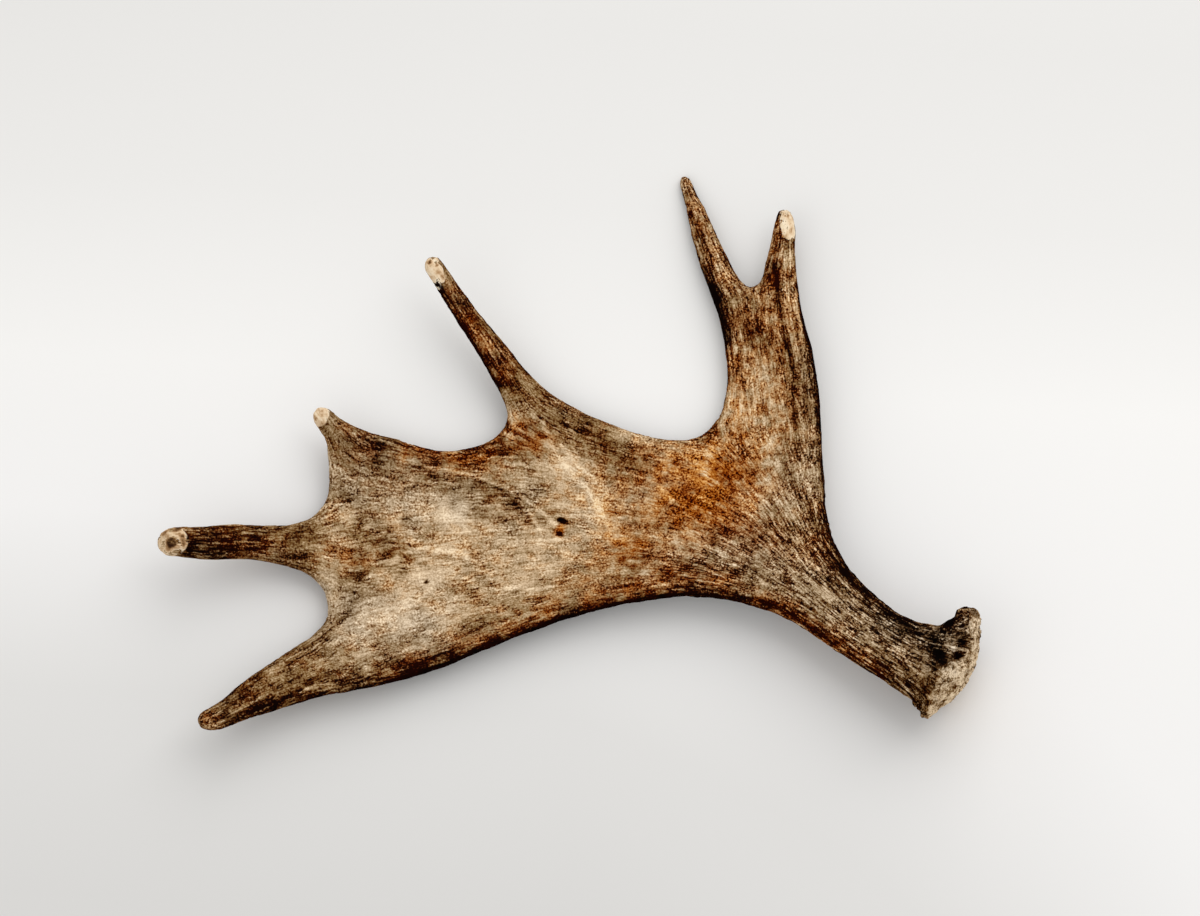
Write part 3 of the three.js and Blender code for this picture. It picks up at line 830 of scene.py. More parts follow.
@dataclass(frozen=True)
class Share:
    """How strong one kind of marking is all over, and what each part of the antler adds to it."""

    all_over: float
    at_rim: float = 0.0
    forward: float = 0.0
    on_beam: float = 0.0
    on_stain: float = 0.0

    def over(self, *parts: np.ndarray) -> np.ndarray:
        """The marking's strength, from how far each place lies at the rim, forward, and so on."""
        weights = (self.at_rim, self.forward, self.on_beam, self.on_stain)
        return self.all_over + sum(weight * part for weight, part in zip(weights, parts))


MARKINGS = {
    "lined": Share(0.62, 0.26, 0.24, 0.26),
    "flecked": Share(0.03, 0.05, 0.08),
    "cracked": Share(0.02, 0.06, 0.17, 0.12, -0.12),
    "drifting": Share(1.5, 0.0, -1.0),
    "blotched": Share(0.54, 0.10, 0.24, -0.24),
}
LINES_LOST_ON_STAIN = 0.6


@dataclass
class Antler:
    """The antler's one skin: joined from the frame's solids, smoothed, carved and marked."""

    voxel: float = 1.7 * MM
    fork: tuple[float, float] = (114, -39)
    cuts: tuple[tuple[float, float], ...] = ((-39, -64), (55, 15), (-39, 55))
    half_cut: float = 0.15
    cut_slack: float = 1.5
    cut_start: float = -1.0
    merged: float = 1e-6
    rounding: int = 2
    evening: float = 0.5
    evening_rounds: int = 4
    burr: tuple[float, float, float] = (258, -152, 40.8)
    burr_axis: tuple[float, float, float] = (0.895, -0.41, 0.18)
    stain: tuple[float, float, float, float] = (80.0, -20.0, 52.0, 34.0)
    rearward: tuple[float, float, float] = (0.92, 0.38, 0.0)
    relief: Relief = Relief()
    ground: Ground = Ground()
    growth: GrowthField = field(default_factory=GrowthField)

    def build(self) -> bpy.types.Object:
        """Make the skin and its marks.

        Returns:
            The finished piece, riding on the frame.
        """
        piece = self._joined()
        self._smooth_and_remesh(piece)
        mesh = piece.data
        self.growth.build(BOARD.plan(self._places(mesh)))
        self._carve(mesh)
        self._mark(mesh)
        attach(piece, BODY)
        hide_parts(*NODES)
        return piece

    @staticmethod
    def _places(mesh: bpy.types.Mesh) -> np.ndarray:
        """Read every vertex's place.

        Args:
            mesh: The mesh to read.

        Returns:
            One row for each vertex, in metres.
        """
        co = np.empty(3 * len(mesh.vertices))
        mesh.vertices.foreach_get("co", co)
        return co.reshape(-1, 3)

    @staticmethod
    def _normals(mesh: bpy.types.Mesh) -> np.ndarray:
        """Read every vertex's normal.

        Args:
            mesh: The mesh to read.

        Returns:
            One row for each vertex.
        """
        normals = np.empty(3 * len(mesh.vertices))
        mesh.vertex_normals.foreach_get("vector", normals)
        return normals.reshape(-1, 3)

    def _joined(self) -> bpy.types.Object:
        """Copy the frame's solids into one open skin, without the faces of the cuts at the fork.

        Returns:
            The piece, still faceted.
        """
        skin = bmesh.new()
        for name in NODES:
            skin.from_mesh(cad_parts[name].data)
        bmesh.ops.remove_doubles(skin, verts=skin.verts, dist=self.merged)
        cut_faces = [face for face in skin.faces if self._is_cut(face)]
        bmesh.ops.delete(skin, geom=cut_faces, context="FACES")
        edge = [vert for vert in skin.verts if vert.is_boundary]
        bmesh.ops.remove_doubles(skin, verts=edge, dist=3 * self.half_cut * MM)
        mesh = bpy.data.meshes.new("moose_antler")
        skin.to_mesh(mesh)
        skin.free()
        piece = bpy.data.objects.new("moose_antler", mesh)
        bpy.context.collection.objects.link(piece)
        return piece

    def _is_cut(self, face: bmesh.types.BMFace) -> bool:
        """Tell whether a face is one side of a hairline cut at the fork.

        Args:
            face: A face of the joined solids.

        Returns:
            True where the face lies in a cut.
        """
        plan = BOARD.plan(np.array([vert.co for vert in face.verts]))[:, :2] - self.fork
        for cut in self.cuts:
            along = Vector(cut).normalized()
            away = plan @ (-along.y, along.x)
            close = np.all(np.abs(away) < self.cut_slack * self.half_cut)
            if close and np.all(plan @ along > self.cut_start):
                return True
        return False

    def _smooth_and_remesh(self, piece: bpy.types.Object) -> None:
        """Round the facets off, then cover the skin in an even net of small faces.

        Args:
            piece: The joined piece, whose mesh is replaced.
        """
        rounded = piece.modifiers.new("rounded", "SUBSURF")
        rounded.levels = self.rounding
        rounded.render_levels = self.rounding
        net = piece.modifiers.new("net", "REMESH")
        net.mode = "VOXEL"
        net.voxel_size = self.voxel
        even = piece.modifiers.new("even", "SMOOTH")
        even.factor = self.evening
        even.iterations = self.evening_rounds
        graph = bpy.context.evaluated_depsgraph_get()
        mesh = bpy.data.meshes.new_from_object(piece.evaluated_get(graph))
        piece.modifiers.clear()
        old = piece.data
        piece.data = mesh
        bpy.data.meshes.remove(old)
        mesh.name = piece.name
        mesh.shade_smooth()
        LOG.info("skin of %d faces", len(mesh.polygons))

    def _burr_places(self, co: np.ndarray) -> tuple[np.ndarray, np.ndarray]:
        """Measure places along and away from the burr's axis.

        Args:
            co: Places in the frame, in metres.

        Returns:
            Distances along the axis and away from it, in millimetres.
        """
        middle = np.array(BOARD.place_at_height(*self.burr))
        axis = np.array(BOARD.direction(*self.burr_axis).normalized())
        rel = (co - middle) / MM
        along = rel @ axis
        away = np.linalg.norm(rel - along[:, None] * axis, axis=1)
        return along, away

    def _seal(self, along: np.ndarray, plan: np.ndarray) -> np.ndarray:
        """Find the seal, whose edge bends back round the burr's two great pits.

        Args:
            along: Distances along the burr's axis, in millimetres.
            plan: Plan coordinates.

        Returns:
            How far each place lies on the seal, from 0 to 1.
        """
        size = self.relief
        bend = size.seal_bend * bell((plan[:, 1] - size.seal_bend_at) / size.seal_bend_width)
        wander = size.seal_wander * fractal_noise(plan / size.seal_wander_width)
        return smoothstep(0.0, size.seal_fade, along - (size.seal_edge + bend + wander))

    def _carve(self, mesh: bpy.types.Mesh) -> None:
        """Raise and sink the skin: grain ribs, burr pearls, seal pores, holes and worn flats.

        Args:
            mesh: The skin, whose vertices are moved.
        """
        co = self._places(mesh)
        normals = self._normals(mesh)
        plan = BOARD.plan(co)
        front = smoothstep(*CARVED_FRONT, BOARD.facing(normals, 0, 0, 1))
        along, away = self._burr_places(co)
        seal = self._seal(along, plan)
        crown = smoothstep(*self.relief.crown_along, along) * smoothstep(*self.relief.crown_away, away)
        crown = crown * (1.0 - seal)

        raised = self._grown_relief(plan, front) * (1.0 - seal)
        raised += self._burr_relief(plan, crown, seal)
        for end in ENDS[1:-1]:
            off = np.hypot(plan[:, 0] - end.x, plan[:, 1] - end.v) / self.relief.tip_reach
            raised += self.relief.tip * bell(off)
        for lump in BURR_LUMPS:
            raised += lump.height(plan) * (front if lump.rise < 0.0 else 1.0)
        for hole in VESSEL_HOLES:
            raised -= hole.depth * hole.cover(plan) * front
        for patch in PATCHES:
            if patch.tone is Tone.VEIN:
                raised += self.relief.vein * patch.cover(plan) * front
            elif patch.tone is Tone.GROOVE:
                raised -= self.relief.groove * patch.cover(plan) * front

        co = co + raised[:, None] * normals * MM
        for flat in WORN_FLATS:
            co = self._flattened(co, flat)
        mesh.vertices.foreach_set("co", np.clip(co, *CAD_BOX).ravel())
        mesh.update()

    def _grown_relief(self, plan: np.ndarray, front: np.ndarray) -> np.ndarray:
        """Ribs along the growth, and a slow swell under them.

        Args:
            plan: Plan coordinates.
            front: How far each place lies on the front.

        Returns:
            How far each place is raised, in millimetres.
        """
        size = self.relief
        near_rim = 1.0 - smoothstep(*size.rib_band, self.growth.from_rim(plan))
        on_beam = smoothstep(*size.beam_along, plan[:, 0]) * smoothstep(*size.beam_across, plan[:, 1])
        strength = size.rib + size.rib_near_rim * near_rim + size.rib_on_beam * on_beam
        return strength * self._ribs(plan, front) + size.swell * fractal_noise(plan / size.swell_width)

    def _burr_relief(self, plan: np.ndarray, crown: np.ndarray, seal: np.ndarray) -> np.ndarray:
        """Pearls on the burr's crown, and pores and grit on the seal.

        Args:
            plan: Plan coordinates.
            crown: How far each place lies on the crown.
            seal: How far each place lies on the seal.

        Returns:
            How far each place is raised, in millimetres.
        """
        size = self.relief
        gaps = np.array([noise.voronoi(Vector(p))[0][0] for p in plan / size.pearl_width])
        bead = np.sqrt(np.clip(1.0 - (gaps / size.pearl_gap) ** 2, 0, 1))
        swell = fractal_noise(plan / size.crown_width + size.crown_seed, 2)
        raised = crown * (size.pearl * bead - size.pearl_sink + size.crown * swell)
        pores = smoothstep(*size.pore_edge, fractal_noise(plan / size.pore_width + size.pore_seed, 4))
        return raised - seal * (size.pore * pores - size.grit * fractal_noise(plan / size.grit_width, 2))

    def _ribs(self, plan: np.ndarray, front: np.ndarray) -> np.ndarray:
        """Long ribs and grooves that follow the grain, at an even width wherever it spreads.

        Args:
            plan: Plan coordinates.
            front: How far each place lies on the front; the back has ribs of its own.

        Returns:
            The ribs' height at each place, about -1.6 to 1.
        """
        grain = self.growth.sample(self.growth.grain, plan)
        spread = self.growth.sample(self.growth.spread, plan)
        side = np.where(front > 0.5, 0.0, self.relief.back_shift)
        value = np.zeros(len(plan))
        total = np.zeros(len(plan))
        for octave in OCTAVES:
            share = np.clip(1.0 - np.abs(spread - octave) / OCTAVES[-1], 0.0, 1.0) + 1e-4
            across = grain * (2.0 ** octave) / self.relief.rib_width
            x, v = plan[:, 0] / self.relief.rib_length, plan[:, 1] / self.relief.rib_length
            value += share * fractal_noise(np.column_stack([x + side, v, across]), 2)
            total += share
        ribs, size = value / total, self.relief
        height = size.rib_height * (size.rib_middle - size.rib_steepness * np.abs(ribs))
        return height + size.rib_slope * ribs

    def _flattened(self, co: np.ndarray, flat: WornFlat) -> np.ndarray:
        """Press all that stands past a worn flat down to it.

        Args:
            co: Places in the frame, in metres.
            flat: The flat to press down to.

        Returns:
            The pressed places.
        """
        middle = np.array(flat.middle)
        outward = np.array(flat.outward)
        over = (co - middle) @ outward
        close = np.linalg.norm(co - middle, axis=1) < self.relief.flat_reach * MM
        return co - np.where(close, np.maximum(over, 0.0), 0.0)[:, None] * outward

    def _mark(self, mesh: bpy.types.Mesh) -> None:
        """Write the values that the finish reads, one for each vertex.

        Args:
            mesh: The carved skin, which is given an attribute for each value.
        """
        co = self._places(mesh)
        normals = self._normals(mesh)
        plan = BOARD.plan(co)
        rim = self.growth.from_rim(plan)
        front = smoothstep(*COLOURED_FRONT, BOARD.facing(normals, 0, 0, 1))
        along, away = self._burr_places(co)
        seal = self._seal(along, plan)
        # A band in the crease behind the burr's rim, which gets painted shade.
        neck_shade = bell((along - self.ground.neck_at) / self.ground.neck_width)
        neck_shade = neck_shade * smoothstep(*NECK_AWAY, away) * smoothstep(*NECK_ACROSS, plan[:, 1])
        at_rim = 1.0 - smoothstep(*RIM_BAND, rim)
        forward = smoothstep(*FORWARD, plan[:, 0])
        on_beam = smoothstep(*BEAM_ALONG, plan[:, 0]) * smoothstep(*BEAM_ACROSS, plan[:, 1])
        x, v, half_length, half_width = self.stain
        on_stain = bell(np.hypot((plan[:, 0] - x) / half_length, (plan[:, 1] - v) / half_width))
        tones = {tone: np.zeros(len(plan)) for tone in Tone}
        for patch in PATCHES:
            tones[patch.tone] += patch.cover(plan) * front
        # How deep the burr's pits sink; it sets the painted shade in them.
        sunk = sum(np.minimum(lump.height(plan), 0.0) for lump in BURR_LUMPS) * front

        ground = self.ground
        dark = ground.all_over + ground.at_rim * at_rim
        dark += ground.near_rim * (1.0 - smoothstep(*INNER_BAND, rim)) + ground.back * (1.0 - front)
        # Painted shade in the burr's neck and in its sunken pits.
        dark += ground.forward * forward + ground.neck_shade * neck_shade - ground.pit * sunk
        dark += ground.hole * front * sum(hole.cover(plan) for hole in VESSEL_HOLES)
        # Painted shade on the palm's lower edge and the brow palm's rear edge.
        dark += self._edge_shade(plan, normals, seal)
        # Grooves darken the colour along their lines, painted shade in them; the veins' negative share
        # pales their ridges, a painted highlight.
        dark += tones[Tone.GROOVE] + ground.vein * tones[Tone.VEIN]
        worn, soil = self._bare_bone(plan, front)
        pit = ground.seal + ground.seal_dark * tones[Tone.DARK] - ground.seal_pale * tones[Tone.PALE]
        marks = {
            "grain": self.growth.sample(self.growth.grain, plan),
            "spread": self.growth.sample(self.growth.spread, plan),
            "dark": dark,
            # The patches' net darkness: mostly stain, with painted shade in the burr's trenches and under
            # one vein, and painted highlights along the palm's top edge and the beam's vein.
            "stain": tones[Tone.DARK] - tones[Tone.PALE],
            "rust": tones[Tone.RUST],
            "grey": tones[Tone.GREY],
            "worn": worn,
            "soil": soil,
            "seal": seal,
            # The seal's darkness, with painted shade in its pits.
            "pit": pit - ground.seal_pit_shade * sunk,
        }
        for name, share in MARKINGS.items():
            marks[name] = share.over(at_rim, forward, on_beam, on_stain)
        marks["lined"] *= 1.0 - LINES_LOST_ON_STAIN * on_stain
        for name, values in marks.items():
            attribute = mesh.attributes.new(name, "FLOAT", "POINT")
            attribute.data.foreach_set("value", values.astype(np.float32))

    def _edge_shade(self, plan: np.ndarray, normals: np.ndarray, seal: np.ndarray) -> np.ndarray:
        """How much darker the palm's lower edge and the brow palm's rear edge are: painted shade on the
        faces that look down or turn away rearward, with some dark stain on the lower edge.

        Args:
            plan: Plan coordinates.
            normals: Normals in the frame.
            seal: How far each place lies on the seal.

        Returns:
            What the edges' painted shade adds to the darkness at each place.
        """
        x, v = plan[:, 0], plan[:, 1]
        # Painted shade on the lower edge's faces that look down.
        lower = smoothstep(*LOWER_FACING, -BOARD.facing(normals, 0, 1, 0))
        lower = lower * smoothstep(*LOWER_EDGE, x) * smoothstep(*LOWER_EDGE_END, x)
        # Painted shade on the rear edge's faces that turn away rearward.
        rear_shade = smoothstep(*REAR_FACING, BOARD.facing(normals, *self.rearward))
        rear_shade = rear_shade * smoothstep(*REAR_EDGE, x) * smoothstep(*REAR_EDGE_TOP, v) * (1.0 - seal)
        return self.ground.lower_edge_shade * lower + self.ground.rear_edge_shade * rear_shade

    @staticmethod
    def _bare_bone(plan: np.ndarray, front: np.ndarray) -> tuple[np.ndarray, np.ndarray]:
        """Find the bare bone on the worn points.

        Args:
            plan: Plan coordinates.
            front: How far each place lies on the front.

        Returns:
            How far each place is bare, and how far it is soiled.
        """
        worn = np.zeros(len(plan))
        soil = np.zeros(len(plan))
        for oval in BARE_OVALS:
            cover = oval.cover(plan) * front
            worn += cover
            soil += oval.depth * cover
        for oval in PITH_OVALS:
            soil += oval.depth * smoothstep(*PITH_EDGE, oval.cover(plan)) * front
        return worn, soil


@dataclass
class Wiring:
    """A short hand for adding nodes to a material."""

    tree: bpy.types.NodeTree

    def add(self, kind: str, settings: dict | None = None, **inputs: object) -> bpy.types.Node:
        """Add a node, set it and wire it.

        Args:
            kind: The node's type name.
            settings: Properties to set on the node.
            **inputs: Values or sockets for its inputs, with _ in place of a space, or i and a
                number for one that shares its name.

        Returns:
            The node.
        """
        node = self.tree.nodes.new(kind)
        for name, value in (settings or {}).items():
            setattr(node, name, value)
        for name, value in inputs.items():
            numbered = name[0] == "i" and name[1:].isdigit()
            self.put(node.inputs[int(name[1:]) if numbered else name.replace("_", " ")], value)
        return node

    def put(self, socket: bpy.types.NodeSocket, value: object) -> None:
        """Wire a socket to another, or set its value.

        Args:
            socket: The input to fill.
            value: A socket to wire to it, or what to set it to.
        """
        if isinstance(value, bpy.types.NodeSocket):
            self.tree.links.new(value, socket)
        else:
            socket.default_value = value

    def math(self, operation: str, a: object, b: object, clamp: bool = False) -> bpy.types.NodeSocket:
        """A sum of two values."""
        settings = {"operation": operation, "use_clamp": clamp}
        return self.add("ShaderNodeMath", settings, i0=a, i1=b).outputs[0]

    def plus(self, *values: object, clamp: bool = False) -> bpy.types.NodeSocket:
        """Add values up, one after another.

        Args:
            *values: Two or more values or sockets.
            clamp: Whether the sum is kept from 0 to 1.

        Returns:
            The sum.
        """
        *first, last = values
        total = first[0]
        for value in first[1:]:
            total = self.math("ADD", total, value)
        return self.math("ADD", total, last, clamp)

    def times(self, *values: object) -> bpy.types.NodeSocket:
        """Multiply values, one after another.

        Args:
            *values: Two or more values or sockets.

        Returns:
            The product.
        """
        total = values[0]
        for value in values[1:]:
            total = self.math("MULTIPLY", total, value)
        return total

    def value(self, name: str) -> bpy.types.NodeSocket:
        """A value that the skin carries."""
        return self.add("ShaderNodeAttribute", {"attribute_name": name}).outputs["Fac"]

    def mix(self, share: object, a: object, b: object) -> bpy.types.NodeSocket:
        """Two colours mixed."""
        node = self.add("ShaderNodeMix", {"data_type": "RGBA"}, i0=share, i6=a, i7=b)
        return node.outputs[2]

    def blend(self, share: object, a: object, b: object) -> bpy.types.NodeSocket:
        """Two values mixed."""
        return self.add("ShaderNodeMix", {"data_type": "FLOAT"}, i0=share, i2=a, i3=b).outputs[0]

    def ease(self, value: object, *limits: float) -> bpy.types.NodeSocket:
        """Ease a value between two limits.

        Args:
            value: The value or socket to ease.
            *limits: Where the ease starts and ends, and what it starts and ends at if that
                isn't 0 and 1.

        Returns:
            The eased value.
        """
        node = self.add("ShaderNodeMapRange", {"interpolation_type": "SMOOTHSTEP"})
        for socket, number in zip(node.inputs, (value, *limits)):
            self.put(socket, number)
        return node.outputs[0]

    def ramp(self, value: object, stops: Stops) -> bpy.types.NodeSocket:
        """Turn a value into a colour.

        Args:
            value: The value or socket to colour.
            stops: Where along the value each colour stands, and the colour.

        Returns:
            The colour.
        """
        node = self.add("ShaderNodeValToRGB", i0=value)
        elements = node.color_ramp.elements
        while len(elements) < len(stops):
            elements.new(0.5)
        for element, (at, colour) in zip(elements, stops):
            element.position = at
            element.color = (*tint(*colour), 1.0)
        return node.outputs[0]


def tint(red: int, green: int, blue: int) -> tuple[float, float, float]:
    """A colour given as the eye sees it, 0 to 255, as the light that it returns.

    Args:
        red: Share of red.
        green: Share of green.
        blue: Share of blue.

    Returns:
        The three shares as linear light.
    """
    shares = [c / 255 for c in (red, green, blue)]
    light = [s / 12.92 if s <= 0.04045 else ((s + 0.055) / 1.055) ** 2.4 for s in shares]
    return light[0], light[1], light[2]


@dataclass(frozen=True)
class Cloud:
    """Noise with no direction: its size in millimetres, and how many finer layers it has."""

    size: float
    detail: float

    def wired(self, w: Wiring, place: bpy.types.NodeSocket) -> bpy.types.NodeSocket:
        """Lay the noise down, the same in every direction.

        Args:
            w: The material's wiring.
            place: Where a point is on the piece.

        Returns:
            The noise, as often below nought as above it.
        """
        scale = 1.0 / (self.size * MM)
        node = w.add("ShaderNodeTexNoise", Vector=place, Scale=scale, Detail=self.detail)
        return w.math("SUBTRACT", node.outputs[0], 0.5)


@dataclass(frozen=True)
class Streak:
    """Noise drawn out along the growth: its length and width in millimetres, and finer layers."""

    length: float
    width: float
    detail: float
    roughness: float = 0.6

    def wired(self, w: Wiring, place: bpy.types.NodeSocket, sway: object) -> bpy.types.NodeSocket:
        """Lay the streaks down at an even width wherever the grain spreads.

        Args:
            w: The material's wiring.
            place: Where a point is on the piece.
            sway: What bends the streaks a little out of the straight.

        Returns:
            The noise, as often below nought as above it.
        """
        spread = w.value("spread")
        grain = w.plus(w.value("grain"), sway)
        layers = []
        for octave in OCTAVES:
            across = w.times(grain, self.length * MM * (2.0 ** octave) / self.width)
            layer = w.add(
                "ShaderNodeTexNoise", {"noise_dimensions": "4D"}, Vector=place, W=across,
                Scale=1.0 / (self.length * MM), Detail=self.detail, Roughness=self.roughness,
            )
            layers.append(layer.outputs[0])
        lower = w.blend(w.ease(spread, OCTAVES[0], OCTAVES[1]), layers[0], layers[1])
        noise_value = w.blend(w.ease(spread, OCTAVES[1], OCTAVES[2]), lower, layers[2])
        return w.math("SUBTRACT", noise_value, 0.5)


@dataclass(frozen=True)
class AntlerBone:
    """Weathered antler: cream bone under brown stain, streaked and flecked along its growth."""

    plain: Stops = (
        (0.00, (252, 228, 192)), (0.20, (213, 185, 150)), (0.45, (157, 128, 90)), (0.61, (117, 84, 42)),
        (0.73, (84, 42, 11)), (0.83, (46, 14, 4)), (0.93, (24, 9, 5)), (1.00, (9, 5, 4)),
    )
    warm: Stops = (
        (0.00, (254, 220, 160)), (0.20, (232, 174, 100)), (0.45, (182, 112, 40)), (0.61, (144, 70, 7)),
        (0.73, (106, 34, 2)), (0.83, (68, 14, 2)), (0.95, (34, 7, 3)),
    )
    cool: Stops = (
        (0.00, (246, 228, 204)), (0.20, (203, 184, 158)), (0.45, (146, 124, 97)), (0.61, (106, 81, 51)),
        (0.73, (66, 41, 19)), (0.83, (36, 18, 8)), (0.93, (19, 11, 7)), (1.00, (8, 5, 4)),
    )
    bare: Stops = (
        (0.0, (248, 232, 204)), (0.3, (226, 198, 162)), (0.5, (176, 138, 98)), (0.75, (104, 72, 42)),
        (1.0, (50, 28, 16)),
    )
    clouds: Cloud = Cloud(28.0, 3.0)
    drift: Cloud = Cloud(19.0, 3.0)
    blotches: Cloud = Cloud(7.0, 4.0)
    specks: Cloud = Cloud(1.4, 2.0)
    flecks: Streak = Streak(5.5, 1.7, 3.0)
    lines: Streak = Streak(16.0, 1.3, 4.0)
    cracks: Streak = Streak(9.0, 2.6, 2.0)
    strands: Streak = Streak(26.0, 5.5, 3.0)
    sway_clouds: float = 2.5
    sway_blotches: float = 1.6
    unevenness: float = 2.2
    ragged_specks: float = 1.2
    ragged_blotches: float = 3.2
    fleck_ground: float = 0.12
    fleck: float = 3.0
    line: float = 2.0
    speck_ground: float = 1.1
    speck: float = 2.2
    crack_edge: float = 0.06
    soft_blotches: float = 0.45
    soft_strands: float = 1.15
    depth_drift: float = 0.35
    depth_clouds: float = 0.7
    pore_specks: float = 1.7
    pore_blotches: float = 2.6
    rust_ground: float = 0.05
    rust_lines: float = 0.9
    rust_dots: float = 1.2
    rust_drift: float = -0.7
    grey: float = 0.7
    fray: float = 4.0
    smudge_ground: float = 0.2
    smudge_flecks: float = 0.8
    smudge_blotches: float = 1.6
    patchy: tuple[float, ...] = (-0.16, 0.2, 0.65, 1.3)
    dot_specks: float = 0.5
    dot_edge: tuple[float, float] = (0.04, 0.16)
    seal_edge: tuple[float, float] = (0.3, 0.8)
    worn_edge: tuple[float, float] = (0.10, 0.26)
    bump: float = -0.5
    bump_strength: float = 0.6
    bump_height: float = 0.7 * MM
    roughness: tuple[float, float] = (0.75, 0.6)

    def material(self) -> bpy.types.Material:
        """Build the finish.

        Returns:
            The finished material.
        """
        material = bpy.data.materials.new("weathered_antler")
        material.use_nodes = True
        material.node_tree.nodes.clear()
        w = Wiring(material.node_tree)
        place = w.add("ShaderNodeTexCoord").outputs["Object"]
        clouds, drift, blotches, specks = (
            cloud.wired(w, place) for cloud in (self.clouds, self.drift, self.blotches, self.specks)
        )
        sway = w.plus(w.times(clouds, self.sway_clouds), w.times(blotches, self.sway_blotches))
        flecks, lines, cracks, strands = (
            streak.wired(w, place, sway) for streak in (self.flecks, self.lines, self.cracks, self.strands)
        )
        rough_lines = w.plus(lines, blotches)
        uneven = w.plus(w.times(rough_lines, self.unevenness), 1.0)
        ragged = w.plus(w.times(specks, self.ragged_specks), w.times(blotches, self.ragged_blotches), 1.0)

        # Fine markings: streaks, specks, dots and open cracks, stronger in some patches.
        patchy = w.ease(w.plus(blotches, clouds), *self.patchy)
        flecked = w.value("flecked")
        streaked = w.times(flecks, w.plus(w.times(flecked, self.fleck), self.fleck_ground))
        streaked = w.plus(streaked, w.times(lines, self.line, w.value("lined")))
        speckled = w.times(specks, w.plus(w.times(flecked, self.speck), self.speck_ground))
        grainy = w.times(w.plus(streaked, speckled), patchy)
        dotted = w.plus(flecks, w.times(specks, self.dot_specks))
        dots = w.times(w.ease(dotted, *self.dot_edge), flecked, patchy)
        open_cracks = w.ease(w.math("ABSOLUTE", cracks, 0.0), 0.0, self.crack_edge, 1.0, 0.0)
        open_cracks = w.times(open_cracks, w.value("cracked"), patchy)

        # How deep the stain and the painted shade are, from bare bone to black.
        soft = w.plus(w.times(blotches, self.soft_blotches), w.times(strands, self.soft_strands))
        depth = w.plus(
            w.value("dark"), w.times(w.value("stain"), uneven), grainy, w.plus(dots, open_cracks),
            w.times(soft, w.value("blotched")), w.times(drift, self.depth_drift),
            w.times(clouds, self.depth_clouds), clamp=True,
        )
        seal = w.ease(w.times(w.value("seal"), ragged), *self.seal_edge)
        pores = w.plus(w.times(specks, self.pore_specks), w.times(blotches, self.pore_blotches))
        depth = w.blend(seal, depth, w.plus(pores, w.value("pit"), clamp=True))

        # How rusty it is, then how grey.
        warmth = w.plus(
            w.times(w.value("rust"), uneven), clouds, w.times(rough_lines, self.rust_lines),
            w.times(dots, self.rust_dots), w.times(drift, self.rust_drift), self.rust_ground, clamp=True,
        )
        warmth = w.times(warmth, w.math("SUBTRACT", 1.0, seal))
        colour = w.mix(warmth, w.ramp(depth, self.plain), w.ramp(depth, self.warm))
        greyness = w.times(w.value("grey"), self.grey)
        greyness = w.plus(greyness, w.times(drift, w.value("drifting")), clamp=True)
        colour = w.mix(greyness, colour, w.ramp(depth, self.cool))

        # Bare bone on the worn points, with a frayed edge.
        frayed = w.plus(ragged, w.times(rough_lines, self.fray))
        worn = w.ease(w.times(w.value("worn"), frayed), *self.worn_edge)
        smudge = w.plus(w.times(flecks, self.smudge_flecks), w.times(blotches, self.smudge_blotches))
        smudge = w.plus(smudge, w.value("soil"), self.smudge_ground, clamp=True)
        colour = w.mix(worn, colour, w.ramp(smudge, self.bare))

        bump = w.add(
            "ShaderNodeBump", Strength=self.bump_strength, Distance=self.bump_height,
            Height=w.times(grainy, self.bump),
        )
        rough = w.ease(depth, 0.0, 1.0, *self.roughness)
        shader = w.add(
            "ShaderNodeBsdfPrincipled", Base_Color=colour, Roughness=rough, Normal=bump.outputs[0],
            Specular_IOR_Level=0.0,
        )
        w.add("ShaderNodeOutputMaterial", Surface=shader.outputs[0])
        return material


@dataclass(frozen=True)
class Lamp:
    """A large soft lamp: where it hangs and how wide it is, in metres, and its power in watts."""

    name: str
    place: tuple[float, float, float]
    size: float
    power: float

    def hang(self) -> None:
        """Make the lamp and turn it to the antler."""
        light = bpy.data.lights.new(self.name, "AREA")
        light.size = self.size
        light.energy = self.power
        holder = bpy.data.objects.new(self.name, light)
        holder.location = self.place
        holder.rotation_euler = Vector(self.place).to_track_quat("Z", "Y").to_euler()
        bpy.context.collection.objects.link(holder)


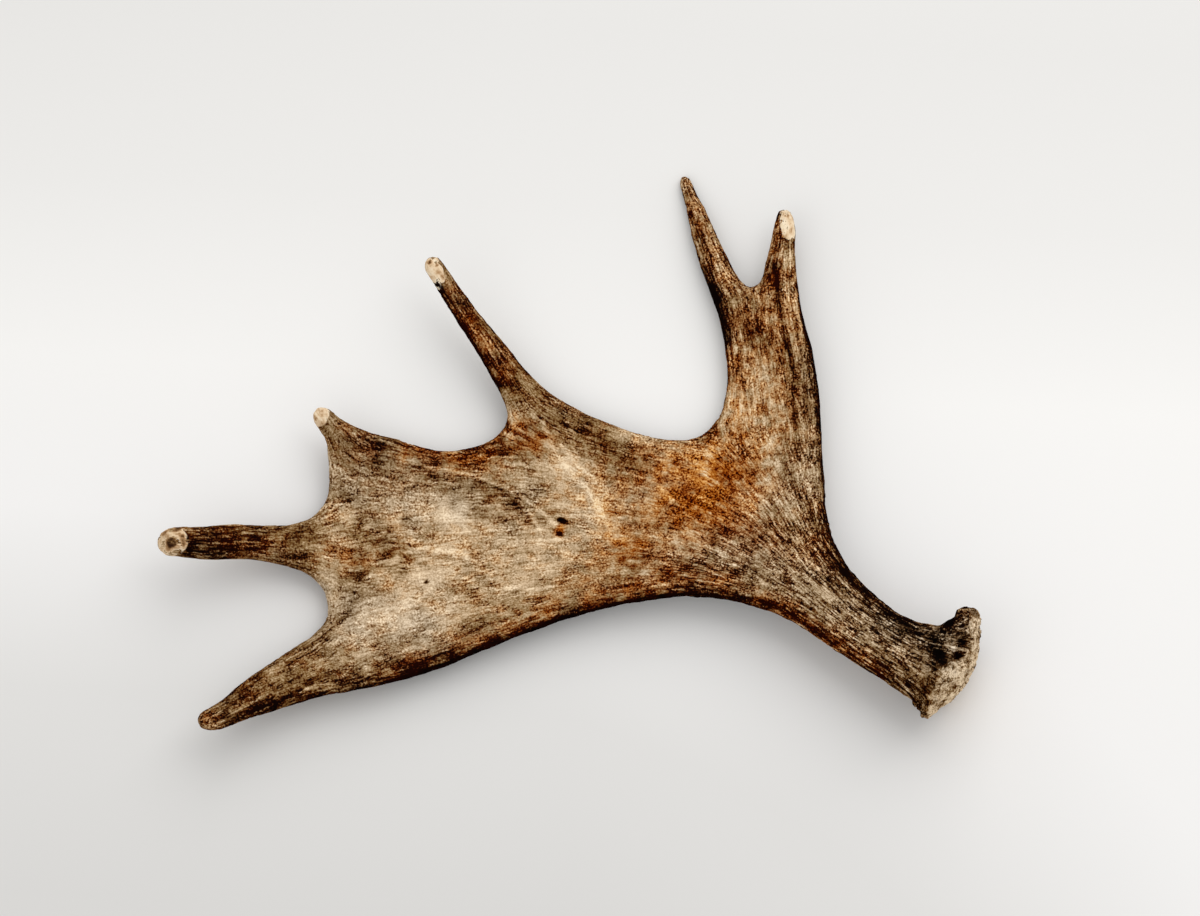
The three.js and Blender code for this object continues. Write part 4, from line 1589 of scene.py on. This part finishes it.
@dataclass
class Studio:
    """A pale floor, soft light and the camera, which looks down square to the leaning board."""

    camera_distance: float = 16.0
    farthest_seen: float = 100.0
    sensor: float = 36.0
    floor_half: float = 4.0
    sky_colour: tuple[float, float, float, float] = (1.0, 0.995, 0.985, 1.0)
    sky_strength: float = 0.66
    lamps: tuple[Lamp, ...] = (
        Lamp("key", (0.9, 1.5, 2.2), 3.2, 43.0), Lamp("front", (-1.2, -1.4, 2.4), 2.2, 9.0),
    )
    paper_roughness: float = 0.9
    # The paper's colour holds painted light and shade: a brighter band through the middle, darker towards
    # the bottom and the top, and a lighter lower right corner where the beam's shadow falls.
    band_slant: float = 0.06
    band_middle: float = 0.5
    painted_corner_light: float = -1.5
    sheet: Stops = (
        (0.14, (219, 218, 216)), (0.30, (226, 225, 223)), (0.44, (243, 242, 241)),
        (0.56, (244, 243, 241)), (0.70, (234, 233, 231)), (0.84, (229, 228, 226)),
    )

    def build(self) -> None:
        """Make the floor, the lights and the camera."""
        self._floor()
        self._sky()
        for lamp in self.lamps:
            lamp.hang()
        self._camera()
        bpy.context.scene.view_settings.view_transform = "Standard"

    def _floor(self) -> None:
        """One wide sheet of pale paper whose colour holds painted light and shade: a little brighter along
        a band through its middle, darker towards the bottom and the top, and lifted in the lower right
        corner.
        """
        sheet = bmesh.new()
        bmesh.ops.create_grid(sheet, x_segments=1, y_segments=1, size=self.floor_half)
        mesh = bpy.data.meshes.new("floor")
        sheet.to_mesh(mesh)
        sheet.free()
        floor = bpy.data.objects.new("floor", mesh)
        bpy.context.collection.objects.link(floor)
        material = bpy.data.materials.new("pale_paper")
        material.use_nodes = True
        shader = material.node_tree.nodes["Principled BSDF"]
        w = Wiring(material.node_tree)
        place = w.add("ShaderNodeTexCoord").outputs["Object"]
        across, along, _ = w.add("ShaderNodeSeparateXYZ", Vector=place).outputs
        # Painted light that lifts the lower right corner, where the beam's shadow falls.
        corner = w.times(w.math("MAXIMUM", across, 0.0), w.math("MINIMUM", along, 0.0))
        slanted = w.times(across, self.band_slant)
        # Painted light through the middle of the paper, fading to painted shade towards the bottom and the
        # top.
        painted_light_band = w.plus(along, slanted, self.band_middle, w.times(corner, self.painted_corner_light))
        w.put(shader.inputs["Base Color"], w.ramp(painted_light_band, self.sheet))
        shader.inputs["Roughness"].default_value = self.paper_roughness
        shader.inputs["Specular IOR Level"].default_value = 0.0
        mesh.materials.append(material)

    def _sky(self) -> None:
        """Even light from all round."""
        world = bpy.data.worlds.new("studio")
        world.use_nodes = True
        background = world.node_tree.nodes["Background"]
        background.inputs["Color"].default_value = self.sky_colour
        background.inputs["Strength"].default_value = self.sky_strength
        bpy.context.scene.world = world

    def _camera(self) -> None:
        """A long lens square to the board, so that the plan's middle is the picture's middle."""
        camera = bpy.data.cameras.new("camera")
        camera.sensor_width = self.sensor
        camera.lens = self.sensor * self.camera_distance / (FRAME_ACROSS * MM)
        camera.clip_end = self.farthest_seen
        holder = bpy.data.objects.new("camera", camera)
        holder.location = BOARD.place(0.0, 0.0, self.camera_distance / MM)
        holder.rotation_euler = BOARD.direction(0, 0, 1).to_track_quat("Z", "Y").to_euler()
        bpy.context.collection.objects.link(holder)
        bpy.context.scene.camera = holder


def main() -> None:
    """Build the antler, dress it and light it."""
    logging.basicConfig(level=logging.INFO, format="%(name)s: %(message)s")
    Studio().build()
    piece = Antler().build()
    piece.data.materials.clear()
    piece.data.materials.append(AntlerBone().material())
    LOG.info("%s: %d faces", piece.name, len(piece.data.polygons))


if __name__ == "__main__":
    main()
